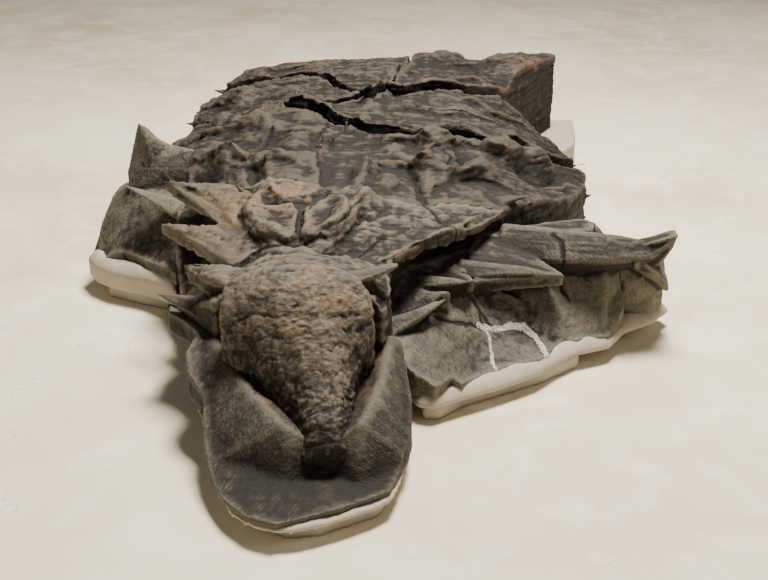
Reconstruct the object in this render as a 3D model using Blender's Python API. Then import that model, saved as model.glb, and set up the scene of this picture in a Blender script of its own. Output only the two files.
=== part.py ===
"""Front half of an armoured dinosaur fossil, snout to hips, lying in its rock on plaster jackets.

X runs to the right as seen from the snout end, Y from the snout to the hips, Z is up, the floor is z = 0.
Lengths are in metres. Each block of the fossil is a height field cut to its outline, joined with its spines.
"""
import bmesh
import bpy
import numpy as np
from mathutils import Vector

# Sizes shared by all blocks
GAP = 0.0006            # seam between blocks that touch
CRACK = 0.008           # open crack between trunk blocks
TALL = 1.0              # height of cutters
SHIFT = (0.0, 0.03)     # moves the finished object so that its floor outline is centred

# Undersides of the rock and levels of the stand
SNOUT_BASE = 0.050
SHOULDER_BASE = 0.060
WING_BASE = 0.105
TRUNK_BASE = 0.070
HIP_BASE = 0.130
SKULL_BASE = 0.0706
CHEEK_BASE = 0.165      # underside of the left cheek, which overhangs
BIB_BASE = 0.115        # underside of the rock beside it
LEDGE = 0.335           # underside of the ledge over the right shoulder
TRAY_BASE = 0.040

# Colours of the materials: red, green, blue, roughness
ROCK = (0.115, 0.100, 0.085, 0.85)
BONE = (0.150, 0.120, 0.090, 0.80)
RUST = (0.190, 0.120, 0.080, 0.85)
PLASTER = (0.780, 0.750, 0.690, 0.90)

# Cross-sections of the neck and trunk: y, left x, left z, crest x, crest z, right x, right z
BODY = (
    (-1.00, -0.38, 0.24, -0.15, 0.390, 0.05, 0.27),
    (-0.90, -0.40, 0.27, -0.15, 0.395, 0.08, 0.30),
    (-0.78, -0.43, 0.26, -0.17, 0.380, 0.12, 0.33),
    (-0.66, -0.44, 0.25, -0.18, 0.395, 0.20, 0.35),
    (-0.50, -0.46, 0.26, -0.18, 0.420, 0.33, 0.35),
    (-0.30, -0.55, 0.29, -0.16, 0.430, 0.50, 0.33),
    (-0.10, -0.60, 0.33, -0.12, 0.440, 0.62, 0.29),
    (0.10, -0.64, 0.34, -0.07, 0.450, 0.70, 0.26),
    (0.30, -0.68, 0.33, 0.00, 0.460, 0.72, 0.25),
    (0.50, -0.66, 0.33, 0.06, 0.470, 0.66, 0.29),
    (0.72, -0.62, 0.35, 0.12, 0.475, 0.60, 0.36),
    (0.90, -0.60, 0.36, 0.16, 0.480, 0.66, 0.40),
    (1.10, -0.50, 0.39, 0.20, 0.470, 0.74, 0.42),
    (1.32, -0.45, 0.37, 0.25, 0.450, 0.76, 0.43),
)

# Cross-sections of the skull roof, in the same order
SKULL = (
    (-1.262, -0.125, 0.090, -0.085, 0.094, -0.035, 0.090),
    (-1.250, -0.140, 0.100, -0.085, 0.112, -0.020, 0.100),
    (-1.238, -0.146, 0.145, -0.085, 0.165, -0.015, 0.140),
    (-1.215, -0.150, 0.160, -0.085, 0.182, -0.013, 0.155),
    (-1.16, -0.165, 0.195, -0.090, 0.222, -0.016, 0.185),
    (-1.10, -0.215, 0.245, -0.110, 0.290, -0.018, 0.240),
    (-1.04, -0.270, 0.300, -0.130, 0.348, -0.010, 0.290),
    (-0.98, -0.335, 0.350, -0.145, 0.396, 0.030, 0.345),
    (-0.93, -0.330, 0.375, -0.145, 0.412, 0.025, 0.370),
    (-0.86, -0.320, 0.375, -0.145, 0.405, 0.025, 0.370),
)

# Front edge of the right shoulder slab and of the left wing: x, y
SLAB_EDGE = ((0.05, -0.82), (0.10, -0.875), (0.17, -0.912), (0.24, -0.868), (0.34, -0.785), (0.42, -0.738),
             (0.48, -0.700), (0.53, -0.615), (0.65, -0.585), (0.71, -0.475), (0.81, -0.417), (0.85, -0.365))
WING_EDGE = ((-0.86, -0.08), (-0.83, -0.125), (-0.76, -0.155), (-0.70, -0.185), (-0.65, -0.230),
             (-0.58, -0.295), (-0.50, -0.380))

# Low keeled plates: x, y, length, width, height, heading of the keel in degrees from +X
PLATES = (
    (0.00, -0.27, 0.13, 0.10, 0.045, 60), (0.17, -0.22, 0.15, 0.12, 0.060, 70),
    (0.05, -0.33, 0.12, 0.09, 0.030, 65), (0.20, 0.02, 0.15, 0.13, 0.045, 60),
    (0.08, -0.05, 0.12, 0.10, 0.030, 75), (0.33, -0.15, 0.15, 0.12, 0.045, 50),
    (-0.30, -0.37, 0.16, 0.10, 0.045, 120), (-0.40, -0.12, 0.15, 0.12, 0.035, 130),
    (-0.22, 0.02, 0.16, 0.14, 0.030, 110), (-0.36, 0.20, 0.16, 0.13, 0.035, 120),
    (-0.48, 0.06, 0.13, 0.11, 0.035, 140), (0.42, 0.07, 0.16, 0.13, 0.055, 45),
    (-0.49, 0.34, 0.15, 0.12, 0.040, 130), (-0.20, 0.24, 0.15, 0.13, 0.025, 100),
    (0.54, 0.12, 0.13, 0.11, 0.050, 30), (-0.45, 0.60, 0.15, 0.13, 0.035, 120),
    (-0.28, 0.58, 0.16, 0.14, 0.025, 110), (0.36, 0.45, 0.18, 0.15, 0.020, 70),
    (-0.42, 0.95, 0.14, 0.12, 0.030, 115), (-0.18, 0.92, 0.18, 0.15, 0.020, 95),
    (0.30, 0.86, 0.18, 0.15, 0.020, 80),
)

# Raised rims: half width, height, then the points x, y of each
RIMS = (
    (0.035, 0.040, ((-0.29, -0.43), (-0.31, -0.54), (-0.27, -0.65), (-0.23, -0.70))),
    (0.035, 0.045, ((-0.10, -0.72), (-0.06, -0.65), (-0.04, -0.57), (0.00, -0.48))),
    (0.040, 0.020, ((-0.20, -0.75), (-0.10, -0.80), (0.00, -0.82))),
    (0.040, 0.025, ((-0.62, 0.10), (-0.50, -0.02), (-0.42, -0.14))),
)

# Hollows: x, y, radius, depth
HOLLOWS = ((-0.45, -0.44, 0.09, 0.13), (-0.50, -0.19, 0.06, 0.06), (0.50, -0.02, 0.06, 0.07),
           (0.30, -0.05, 0.06, 0.03), (0.58, 0.04, 0.05, 0.06), (0.41, 1.12, 0.09, 0.05))

# Ledges of the neck and trunk, which rise from behind and drop off in front: height, reach, then x, y of the edge
LEDGES = (
    (0.045, 0.10, ((0.340, 0.045), (0.394, 0.015), (0.439, 0.020), (0.487, 0.075), (0.530, 0.095))),
    (0.040, 0.09, ((0.214, -0.300), (0.251, -0.235), (0.290, -0.205), (0.339, -0.190), (0.370, -0.200))),
    (0.036, 0.08, ((0.060, -0.225), (0.109, -0.215), (0.137, -0.235), (0.164, -0.250), (0.205, -0.262))),
    (0.030, 0.10, ((-0.500, -0.060), (-0.440, -0.090), (-0.386, -0.140), (-0.343, -0.160), (-0.304, -0.165))),
    (0.018, 0.08, ((-0.300, -0.165), (-0.254, -0.175), (-0.206, -0.215), (-0.174, -0.255))),
    (0.028, 0.10, ((-0.600, 0.240), (-0.520, 0.200), (-0.440, 0.190), (-0.360, 0.160))),
    (0.022, 0.09, ((-0.360, 0.160), (-0.280, 0.100), (-0.200, 0.090), (-0.150, 0.060))),
    (0.030, 0.09, ((0.020, 0.020), (0.090, 0.045), (0.150, 0.020), (0.210, -0.020))),
    (0.028, 0.08, ((0.210, -0.020), (0.270, 0.040), (0.320, 0.050))),
    (0.020, 0.12, ((0.100, 0.330), (0.220, 0.300), (0.340, 0.330))),
    (0.025, 0.10, ((0.280, 0.460), (0.400, 0.430), (0.500, 0.460), (0.580, 0.440))),
    (0.022, 0.12, ((-0.580, 0.660), (-0.480, 0.620), (-0.380, 0.640))),
    (0.020, 0.10, ((-0.400, 0.760), (-0.300, 0.700), (-0.200, 0.700))),
    (0.020, 0.10, ((-0.460, 1.000), (-0.340, 0.970), (-0.220, 0.980))),
    (0.018, 0.10, ((-0.160, 0.880), (-0.060, 0.860), (0.020, 0.880))),
    (0.020, 0.12, ((0.200, 0.760), (0.300, 0.740), (0.420, 0.800))),
    (0.020, 0.12, ((0.280, 1.020), (0.400, 0.990), (0.520, 1.040))),
)

# Cracks between trunk blocks: x, y
LEFT_CRACK = ((-0.80, 0.57), (-0.66, 0.56), (-0.587, 0.534), (-0.422, 0.393), (-0.381, 0.459), (-0.30, 0.43),
              (-0.241, 0.373))
MAIN_CRACK = ((-0.241, 0.373), (-0.163, 0.329), (-0.093, 0.213), (-0.022, 0.166), (0.048, 0.166),
              (0.136, 0.122), (0.256, 0.203), (0.345, 0.192), (0.408, 0.170), (0.471, 0.261),
              (0.565, 0.245), (0.70, 0.315), (0.85, 0.36))
WEDGE_CRACK = ((-0.241, 0.373), (-0.140, 0.426), (-0.007, 0.479))
REAR_CRACK = ((-0.007, 0.479), (-0.101, 0.662), (-0.162, 0.736), (-0.257, 0.872), (-0.322, 0.876),
              (-0.457, 0.906), (-0.70, 0.88))
HIP_CRACK = ((-0.007, 0.479), (0.051, 0.550), (0.117, 0.536), (0.199, 0.604), (0.349, 0.638), (0.456, 0.705))
HIP_MIDLINE = ((0.051, 0.550), (0.10, 0.75), (0.14, 0.95), (0.16, 1.40))

# Uneven rock of the trunk: spacing and height of the swells, the ridge along the midline, and how far the
# rock is raised beside each crack, on the left and on the right of its line
SWELL = 0.16
SWELL_RISE = 0.036
MIDLINE = ((-0.15, -0.20), (-0.12, -0.02), (-0.06, 0.12), (0.00, 0.30), (0.03, 0.50), (0.10, 0.75),
           (0.15, 1.00))
MIDLINE_RISE = 0.013
LIPS = ((MAIN_CRACK, 0.012, -0.010), (HIP_CRACK, 0.020, -0.008), (REAR_CRACK, -0.004, 0.006),
        (WEDGE_CRACK, 0.006, 0.004))

# How far in front of its edge a ledge drops to nothing
LEDGE_DROP = 0.012

# Rock that buries the root of the long spine: x, y
SPINE_ROOT = ((0.34, -0.38), (0.44, -0.40), (0.60, -0.34))

# Spines of each block: points of the axis, half width and half thickness at the root, fullness of the tip
NECK_SPINES = (
    (((-0.08, -0.87, 0.350), (0.00, -0.875, 0.375), (0.085, -0.862, 0.400)), 0.048, 0.034, 0.85),
    (((-0.34, -0.80, 0.240), (-0.44, -0.765, 0.250), (-0.545, -0.722, 0.270)), 0.105, 0.080, -0.20),
    (((-0.26, -0.76, 0.345), (-0.40, -0.62, 0.350), (-0.530, -0.476, 0.348)), 0.060, 0.034, 0.25),
    (((-0.30, -0.62, 0.375), (-0.43, -0.43, 0.388), (-0.572, -0.245, 0.395)), 0.060, 0.034, 0.20),
)
TRUNK_FRONT_SPINES = (
    (((0.36, -0.30, 0.350), (0.40, -0.32, 0.370), (0.465, -0.315, 0.380)), 0.060, 0.030, 0.20),
    (((0.42, -0.14, 0.300), (0.54, -0.06, 0.305), (0.630, 0.020, 0.300)), 0.065, 0.026, 0.30),
    (((0.50, 0.02, 0.215), (0.62, 0.08, 0.225), (0.735, 0.170, 0.215)), 0.080, 0.034, 0.30),
    (((0.50, 0.05, 0.130), (0.62, 0.10, 0.135), (0.725, 0.200, 0.130)), 0.080, 0.038, 0.45),
    (((0.40, 0.06, 0.340), (0.47, 0.14, 0.375), (0.560, 0.130, 0.385)), 0.060, 0.040, 0.00),
    (((-0.59, 0.28, 0.300), (-0.67, 0.31, 0.330), (-0.735, 0.355, 0.325)), 0.055, 0.030, 0.10),
)
SHOULDER_SPINES = (
    (((0.06, -0.760, 0.180), (0.13, -0.745, 0.210), (0.218, -0.695, 0.242)), 0.055, 0.045, 0.25),
    (((0.10, -0.600, 0.235), (0.18, -0.620, 0.248), (0.278, -0.635, 0.255)), 0.060, 0.045, 0.35),
    (((0.27, -0.545, 0.250), (0.40, -0.560, 0.255), (0.522, -0.576, 0.248)), 0.060, 0.040, 0.25),
    (((0.40, -0.400, 0.255), (0.57, -0.460, 0.270), (0.70, -0.472, 0.272), (0.800, -0.476, 0.275)), 0.095, 0.080, 1.00),
    (((0.74, -0.472, 0.262), (0.80, -0.476, 0.290), (0.845, -0.484, 0.335)), 0.060, 0.050, 0.20),
    (((0.74, -0.450, 0.250), (0.81, -0.430, 0.190), (0.850, -0.385, 0.120)), 0.065, 0.042, 0.80),
    (((0.62, -0.400, 0.200), (0.63, -0.395, 0.290), (0.632, -0.390, 0.345)), 0.026, 0.018, 0.10),
)
WING_SPINES = (
    (((-0.57, -0.16, 0.290), (-0.65, -0.13, 0.315), (-0.752, -0.088, 0.340)), 0.070, 0.038, 0.00),
    (((-0.60, 0.11, 0.260), (-0.68, 0.08, 0.330), (-0.700, 0.03, 0.420), (-0.698, 0.012, 0.500)),
     0.120, 0.090, -0.50),
    (((-0.50, 0.17, 0.300), (-0.61, 0.10, 0.320), (-0.700, 0.035, 0.370)), 0.100, 0.060, 0.60),
)
TRUNK_LEFT_SPINES = (
    (((-0.55, 0.62, 0.320), (-0.61, 0.60, 0.325), (-0.672, 0.575, 0.335)), 0.070, 0.034, 0.00),
    (((-0.53, 0.74, 0.325), (-0.59, 0.72, 0.335), (-0.652, 0.700, 0.345)), 0.065, 0.032, 0.00),
    (((-0.52, 0.83, 0.330), (-0.57, 0.825, 0.340), (-0.625, 0.820, 0.352)), 0.040, 0.026, 0.00),
)
TRUNK_BACK_SPINES = (
    (((-0.51, 0.98, 0.340), (-0.56, 0.96, 0.350), (-0.615, 0.945, 0.365)), 0.060, 0.032, 0.00),
)
TRUNK_MIDDLE_SPINES = (
    (((0.58, 0.38, 0.240), (0.66, 0.38, 0.240), (0.735, 0.385, 0.245)), 0.040, 0.024, 0.10),
)

# Broad plates of each block: corners x, y, z of the upper face, the way through to the lower face, and the rise
# of the middle
NECK_BLADES = (
    (((-0.575, -0.245, 0.405), (-0.500, -0.285, 0.412), (-0.420, -0.310, 0.418), (-0.350, -0.345, 0.422),
      (-0.310, -0.420, 0.424), (-0.325, -0.510, 0.420), (-0.345, -0.575, 0.402), (-0.410, -0.460, 0.392),
      (-0.490, -0.350, 0.388), (-0.560, -0.262, 0.388)), (0.0, 0.0, -0.032), 0.004),
    (((-0.545, -0.480, 0.358), (-0.472, -0.505, 0.370), (-0.413, -0.540, 0.378), (-0.350, -0.575, 0.386),
      (-0.290, -0.630, 0.394), (-0.255, -0.715, 0.390), (-0.282, -0.755, 0.376), (-0.325, -0.772, 0.362),
      (-0.380, -0.690, 0.353), (-0.445, -0.590, 0.347), (-0.500, -0.530, 0.346)), (0.0, 0.0, -0.030), 0.004),
    (((-0.447, -0.758, 0.360), (-0.410, -0.766, 0.367), (-0.360, -0.782, 0.368), (-0.290, -0.805, 0.366),
      (-0.290, -0.860, 0.356), (-0.330, -0.868, 0.349), (-0.381, -0.829, 0.344), (-0.430, -0.785, 0.348)),
     (0.0, 0.0, -0.030), 0.004),
    (((-0.100, -0.800, 0.366), (-0.030, -0.785, 0.368), (0.030, -0.765, 0.370), (0.075, -0.725, 0.372),
      (0.128, -0.655, 0.376), (0.195, -0.595, 0.380), (0.238, -0.555, 0.380), (0.268, -0.500, 0.377),
      (0.305, -0.440, 0.372), (0.335, -0.400, 0.366), (0.285, -0.418, 0.378), (0.200, -0.455, 0.390),
      (0.100, -0.510, 0.400), (0.000, -0.590, 0.406), (-0.060, -0.690, 0.402)), (0.0, 0.0, -0.034), -0.004),
)
SHOULDER_BLADES = (
    (((0.070, -0.600, 0.240), (0.118, -0.627, 0.243), (0.166, -0.672, 0.248), (0.220, -0.688, 0.252),
      (0.172, -0.705, 0.226), (0.108, -0.745, 0.196), (0.068, -0.800, 0.155), (0.065, -0.700, 0.200)),
     (0.0, 0.02, -0.045), 0.006),
    (((0.130, -0.520, 0.270), (0.200, -0.500, 0.285), (0.228, -0.515, 0.281), (0.255, -0.560, 0.271),
      (0.285, -0.633, 0.258), (0.220, -0.622, 0.238), (0.105, -0.560, 0.238)), (0.0, 0.02, -0.040), 0.008),
    (((0.275, -0.500, 0.285), (0.300, -0.425, 0.302), (0.350, -0.400, 0.298), (0.410, -0.455, 0.285),
      (0.470, -0.517, 0.269), (0.529, -0.577, 0.250), (0.410, -0.583, 0.243), (0.285, -0.601, 0.240)),
     (0.0, 0.02, -0.040), 0.006),
)
WING_BLADES = (
    (((-0.696, 0.012, 0.500), (-0.668, 0.040, 0.450), (-0.620, 0.070, 0.412), (-0.540, 0.080, 0.392),
      (-0.530, 0.050, 0.300), (-0.640, 0.010, 0.290), (-0.735, -0.012, 0.280), (-0.738, -0.005, 0.340),
      (-0.725, 0.004, 0.400), (-0.710, 0.010, 0.455)), (0.010, 0.075, -0.035), 0.0),
)

# Small upright spikes along the midline: x, y, height above the crest
SPIKES = ((-0.145, -0.195, 0.055), (-0.138, -0.140, 0.040), (-0.132, -0.085, 0.050), (-0.104, 0.015, 0.055),
          (-0.070, 0.095, 0.055))

# Outlines of the blocks: x, y
NECK_FRONT = ((-0.50, -0.70), (-0.42, -0.80), (-0.355, -0.885), (-0.31, -0.885), (-0.22, -0.868),
              (-0.14, -0.862), (-0.056, -0.872), (0.00, -0.90), (0.045, -0.93), (0.06, -0.86),
              (0.055, -0.79))
NECK_RIGHT = ((0.055, -0.79), (0.065, -0.725), (0.12, -0.655), (0.19, -0.59), (0.235, -0.55), (0.305, -0.478),
              (0.38, -0.37))
NECK_FOOT = ((0.055, -0.79), (0.05, -0.70), (0.10, -0.60), (0.20, -0.49), (0.30, -0.41), (0.38, -0.37))
NECK_BACK = ((0.38, -0.37), (0.24, -0.40), (0.14, -0.46), (0.00, -0.43), (-0.14, -0.38), (-0.28, -0.33),
             (-0.42, -0.28), (-0.54, -0.25))
NECK_LEFT = ((-0.54, -0.25), (-0.53, -0.37), (-0.50, -0.50), (-0.47, -0.62))
SNOUT_RIM = ((-0.50, -0.70), (-0.495, -0.745), (-0.445, -0.800), (-0.405, -0.850), (-0.425, -0.930),
             (-0.410, -1.000), (-0.366, -1.063), (-0.358, -1.130), (-0.348, -1.194), (-0.335, -1.245),
             (-0.318, -1.290), (-0.285, -1.347), (-0.237, -1.401), (-0.205, -1.415), (-0.174, -1.428),
             (-0.124, -1.408), (-0.085, -1.390), (-0.043, -1.372), (0.023, -1.332), (0.061, -1.306),
             (0.083, -1.240), (0.104, -1.180), (0.110, -1.127), (0.113, -1.060), (0.107, -1.004),
             (0.092, -0.885), (0.075, -0.829), (0.055, -0.79))
SKULL_OUTLINE = ((-0.333, -0.989), (-0.325, -0.927), (-0.300, -0.900), (-0.218, -0.888), (-0.136, -0.882),
                 (-0.056, -0.892), (-0.010, -0.915), (0.018, -0.945), (0.030, -0.989), (0.000, -1.030),
                 (-0.013, -1.070), (-0.020, -1.139), (-0.012, -1.190), (-0.015, -1.232), (-0.040, -1.252),
                 (-0.085, -1.258), (-0.125, -1.250), (-0.148, -1.228), (-0.154, -1.190), (-0.183, -1.139),
                 (-0.230, -1.082), (-0.264, -1.042), (-0.305, -1.021))
SLAB_OUTLINE = ((0.07, -0.79), (0.088, -0.850), (0.105, -0.875), (0.125, -0.893), (0.150, -0.900),
                (0.172, -0.915), (0.195, -0.893), (0.214, -0.861), (0.241, -0.872), (0.265, -0.838),
                (0.298, -0.803), (0.318, -0.800), (0.340, -0.782), (0.382, -0.749), (0.417, -0.738),
                (0.450, -0.722), (0.476, -0.699), (0.500, -0.650), (0.529, -0.615), (0.565, -0.612),
                (0.603, -0.593), (0.653, -0.587), (0.690, -0.535), (0.709, -0.502), (0.707, -0.446),
                (0.755, -0.440), (0.808, -0.417), (0.848, -0.365), (0.845, -0.33), (0.74, -0.28),
                (0.62, -0.25), (0.54, -0.24), (0.40, -0.355))
WING_OUTLINE = ((-0.545, -0.25), (-0.550, -0.325), (-0.576, -0.293), (-0.610, -0.262), (-0.648, -0.231),
                (-0.696, -0.186), (-0.730, -0.160), (-0.763, -0.152), (-0.795, -0.145), (-0.825, -0.128),
                (-0.848, -0.105), (-0.858, -0.075), (-0.855, -0.050), (-0.820, 0.000), (-0.780, 0.060),
                (-0.720, 0.130), (-0.640, 0.175), (-0.585, 0.160), (-0.555, 0.05), (-0.545, -0.10))
TRUNK_RIGHT_FRONT = ((0.41, -0.335), (0.53, -0.20), (0.61, -0.09), (0.66, 0.03), (0.70, 0.14),
                     (0.715, 0.25), (0.71, 0.31))
TRUNK_LEFT_FRONT = ((-0.60, 0.54), (-0.62, 0.50), (-0.65, 0.38), (-0.66, 0.28), (-0.64, 0.19), (-0.58, 0.17),
                    (-0.55, 0.05), (-0.54, -0.10))
HIP_FACE = ((0.456, 0.705), (0.53, 0.86), (0.61, 1.00), (0.67, 1.12), (0.735, 1.235), (0.745, 1.27))
TRUNK_RIGHT_BACK = ((0.66, 0.42), (0.60, 0.52), (0.54, 0.62))
TRUNK_LEFT_EDGE = ((-0.585, 0.845), (-0.612, 0.70), (-0.635, 0.585))
BACK_EDGE = ((0.15, 1.10), (-0.02, 1.10), (-0.24, 1.115), (-0.33, 1.165), (-0.48, 1.165), (-0.54, 1.05),
             (-0.56, 0.95))
HIP_EDGE = ((0.66, 1.285), (0.55, 1.20), (0.39, 1.14), (0.16, 1.115))

NECK_OUTER = ((0.07, -0.82), (0.16, -0.72), (0.24, -0.66), (0.34, -0.52), (0.40, -0.40))
BIB_HOLLOW = ((-0.60, -0.70), (-0.60, -1.26), (-0.365, -1.18), (-0.350, -1.05), (-0.345, -0.70))
CHEEK_HOLLOW = ((-0.60, -0.45), (-0.60, -0.96), (-0.430, -0.90), (-0.400, -0.80), (-0.420, -0.65),
                (-0.455, -0.45))

# Plaster edges: x, y
SNOUT_TRAY = ((-0.400, -0.875), (-0.415, -0.93), (-0.390, -1.00), (-0.345, -1.10), (-0.335, -1.20),
              (-0.315, -1.30), (-0.275, -1.375), (-0.225, -1.420), (-0.172, -1.437), (-0.120, -1.432),
              (-0.040, -1.398), (0.030, -1.356), (0.072, -1.320), (0.095, -1.245), (0.108, -1.150),
              (0.105, -1.00), (0.080, -0.875))
SLAB_TRAY = ((0.10, -0.80), (0.113, -0.885), (0.131, -0.916), (0.170, -0.926), (0.236, -0.886),
             (0.340, -0.828), (0.442, -0.760), (0.505, -0.690), (0.562, -0.640), (0.656, -0.600),
             (0.716, -0.508), (0.811, -0.440), (0.868, -0.366), (0.855, -0.325), (0.74, -0.29),
             (0.60, -0.27), (0.40, -0.37), (0.25, -0.58), (0.12, -0.73))
WING_TRAY = ((-0.55, -0.22), (-0.555, -0.330), (-0.650, -0.258), (-0.770, -0.203), (-0.830, -0.150),
             (-0.866, -0.085), (-0.852, -0.030), (-0.780, 0.050), (-0.720, 0.110), (-0.650, 0.150),
             (-0.600, 0.140), (-0.57, 0.05))
TRUNK_TRAY = ((-0.36, -0.845), (-0.04, -0.845), (0.03, -0.79), (0.02, -0.70), (0.07, -0.585),
              (0.17, -0.475), (0.28, -0.395), (0.37, -0.345), (0.56, -0.12), (0.66, 0.12), (0.69, 0.30),
              (0.62, 0.44), (0.53, 0.58), (0.43, 0.66), (0.10, 0.66), (0.10, 1.05), (-0.42, 1.05),
              (-0.56, 0.72), (-0.60, 0.45), (-0.60, 0.20), (-0.535, 0.14), (-0.515, -0.20), (-0.45, -0.60),
              (-0.42, -0.75))
SNOUT_SUPPORT = ((-0.33, -1.00), (-0.30, -1.20), (-0.235, -1.335), (-0.160, -1.390), (-0.090, -1.385),
                 (0.040, -1.310), (0.075, -1.20), (0.075, -1.00))
SLAB_SUPPORT = ((0.130, -0.78), (0.145, -0.905), (0.185, -0.905), (0.246, -0.845), (0.451, -0.725),
                (0.571, -0.625), (0.590, -0.50), (0.45, -0.38), (0.30, -0.52))
WING_SUPPORT = ((-0.590, -0.17), (-0.590, -0.262), (-0.680, -0.225), (-0.790, -0.165), (-0.815, -0.06),
                (-0.70, 0.06), (-0.60, 0.08))
TRUNK_SUPPORT = ((-0.36, -0.70), (0.00, -0.70), (0.34, -0.25), (0.55, 0.20), (0.40, 0.58), (0.03, 0.60),
                 (0.03, 0.98), (-0.36, 0.98), (-0.50, 0.60), (-0.50, 0.20), (-0.42, -0.30))
PLINTH = ((0.165, 0.78), (0.68, 0.82), (0.80, 1.02), (0.825, 1.15), (0.845, 1.37), (0.165, 1.37))


def clear_scene():
    """Remove what the scene starts with."""
    for item in list(bpy.data.objects):
        bpy.data.objects.remove(item)


def ease(t):
    """Smooth step from 0 to 1."""
    t = np.clip(t, 0.0, 1.0)
    return t * t * (3.0 - 2.0 * t)


def along(y, table, column):
    """Read one column of a table of cross-sections at y, softened between the rows."""
    rows = np.array(table)
    reach = 0.02 * (rows[-1, 0] - rows[0, 0])
    return sum(np.interp(y + step * reach, rows[:, 0], rows[:, column]) for step in (-1.0, 0.0, 1.0)) / 3.0


def dome(x, y, table, power):
    """Height of a crest that falls to the side heights of a table of cross-sections."""
    left_x, left_z, crest_x, crest_z, right_x, right_z = (along(y, table, k) for k in range(1, 7))
    left = np.clip((crest_x - x) / (crest_x - left_x), 0.0, 1.25)
    right = np.clip((x - crest_x) / (right_x - crest_x), 0.0, 1.25)
    return crest_z - (crest_z - left_z) * left ** power - (crest_z - right_z) * right ** power


def plates(x, y):
    """Height added by the keeled plates: a tent that falls off across and along the keel."""
    total = np.zeros_like(x)
    for px, py, length, width, height, heading in PLATES:
        turn = np.radians(heading)
        u = (x - px) * np.cos(turn) + (y - py) * np.sin(turn)
        v = -(x - px) * np.sin(turn) + (y - py) * np.cos(turn)
        tent = np.clip(1.0 - np.hypot(u / (0.5 * length), v / (0.5 * width)), 0.0, 1.0)
        total = total + height * tent
    return total


def from_line(x, y, points):
    """Distance from a line of points in plan."""
    best = np.full_like(x, 9.0)
    for (ax, ay), (bx, by) in zip(points[:-1], points[1:]):
        dx, dy = bx - ax, by - ay
        t = np.clip(((x - ax) * dx + (y - ay) * dy) / (dx * dx + dy * dy), 0.0, 1.0)
        best = np.minimum(best, np.hypot(x - ax - t * dx, y - ay - t * dy))
    return best


def side_of_line(x, y, points):
    """Distance from a line of points in plan, positive on its left, and the same without sign."""
    best, signed = np.full_like(x, 9.0), np.full_like(x, 9.0)
    for (ax, ay), (bx, by) in zip(points[:-1], points[1:]):
        dx, dy = bx - ax, by - ay
        t = np.clip(((x - ax) * dx + (y - ay) * dy) / (dx * dx + dy * dy), 0.0, 1.0)
        away = np.hypot(x - ax - t * dx, y - ay - t * dy)
        signed = np.where(away < best, away * np.sign(dx * (y - ay) - dy * (x - ax)), signed)
        best = np.minimum(best, away)
    return signed, best


def corner(ix, iy, iz, seed):
    """Repeatable number from 0 to 1 for a corner of a lattice, by mixing the bits of its place."""
    n = ix * 374761393 + iy * 668265263 + iz * 1440662683 + seed * 1274126177
    n = ((n ^ (n >> 13)) & 0x7FFFFFFF) * 1103515245
    n = ((n ^ (n >> 16)) & 0x7FFFFFFF) * 668265263
    return ((n ^ (n >> 15)) & 0xFFFFFF) / float(0xFFFFFF)


def lumps(p, size, seed):
    """Value noise from -1 to 1: the numbers at the eight corners round a place, blended smoothly."""
    q = p / size
    low = np.floor(q).astype(np.int64)
    t = q - low
    t = t * t * (3.0 - 2.0 * t)
    total = np.zeros(len(p))
    for dx in (0, 1):
        for dy in (0, 1):
            for dz in (0, 1):
                weight = np.where(dx, t[:, 0], 1 - t[:, 0]) * np.where(dy, t[:, 1], 1 - t[:, 1])
                weight = weight * np.where(dz, t[:, 2], 1 - t[:, 2])
                total += weight * corner(low[:, 0] + dx, low[:, 1] + dy, low[:, 2] + dz, seed)
    return 2.0 * total - 1.0


def swells(x, y):
    """The two broadest layers of the uneven rock on the trunk, from -0.8 to 0.8."""
    p = np.stack([0.55 * x.ravel(), y.ravel(), np.zeros(x.size)], 1)
    return ((lumps(p, SWELL, 17) + 0.55 * lumps(p + 0.37, 0.5 * SWELL, 18)) / 2.0).reshape(x.shape)


def ledges(x, y):
    """Height added by the ledges: it climbs to the edge from its left and drops off steeply on its right."""
    total = np.zeros_like(x)
    for height, reach, points in LEDGES:
        signed, plain = side_of_line(x, y, points)
        left = height * np.clip(1.0 - signed / reach, 0.0, 1.0) ** 1.5
        right = height * np.clip(1.0 + signed / LEDGE_DROP, 0.0, 1.0)
        ends = [np.hypot(x - ex, y - ey) for ex, ey in (points[0], points[-1])]
        fade = 0.3 + 0.7 * ease(np.minimum(*ends) / 0.05)
        total = total + np.where(signed >= 0, left, right) * (plain < reach) * fade
    return total


def trunk_detail(x, y):
    """Ridge along the midline, lips and steps beside the open cracks, and the uneven rock between them."""
    z = MIDLINE_RISE * np.clip(1.0 - from_line(x, y, MIDLINE) / 0.045, 0.0, 1.0)
    for line, far, near in LIPS:
        signed, plain = side_of_line(x, y, line)
        z = z + np.where(signed > 0, far, near) * np.exp(-(plain / 0.05) ** 2)
    z = z - 0.022 * np.exp(-((x - 0.33) ** 2 / 0.012 + (y - 0.90) ** 2 / 0.020))
    return z + SWELL_RISE * (swells(x, y) - 0.08) * ease((y + 0.30) / 0.3)


def body_height(x, y):
    """Top of the neck and the trunk."""
    z = dome(x, y, BODY, 2.2) + plates(x, y)
    for reach, height, points in RIMS:
        z = z + height * np.clip(1.0 - from_line(x, y, points) / (1.6 * reach), 0.0, 1.0)
    for hx, hy, radius, depth in HOLLOWS:
        z = z - depth * np.exp(-((x - hx) ** 2 + (y - hy) ** 2) / (0.6 * radius ** 2))
    z = z + ledges(x, y) + trunk_detail(x, y) * ease((y + 0.35) / 0.2)
    return np.maximum(z, TRUNK_BASE + 0.05)


def skull_height(x, y):
    """Top of the skull roof, falling steeply in front of the snout ridge."""
    return dome(x, y, SKULL, 2.6)


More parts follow.
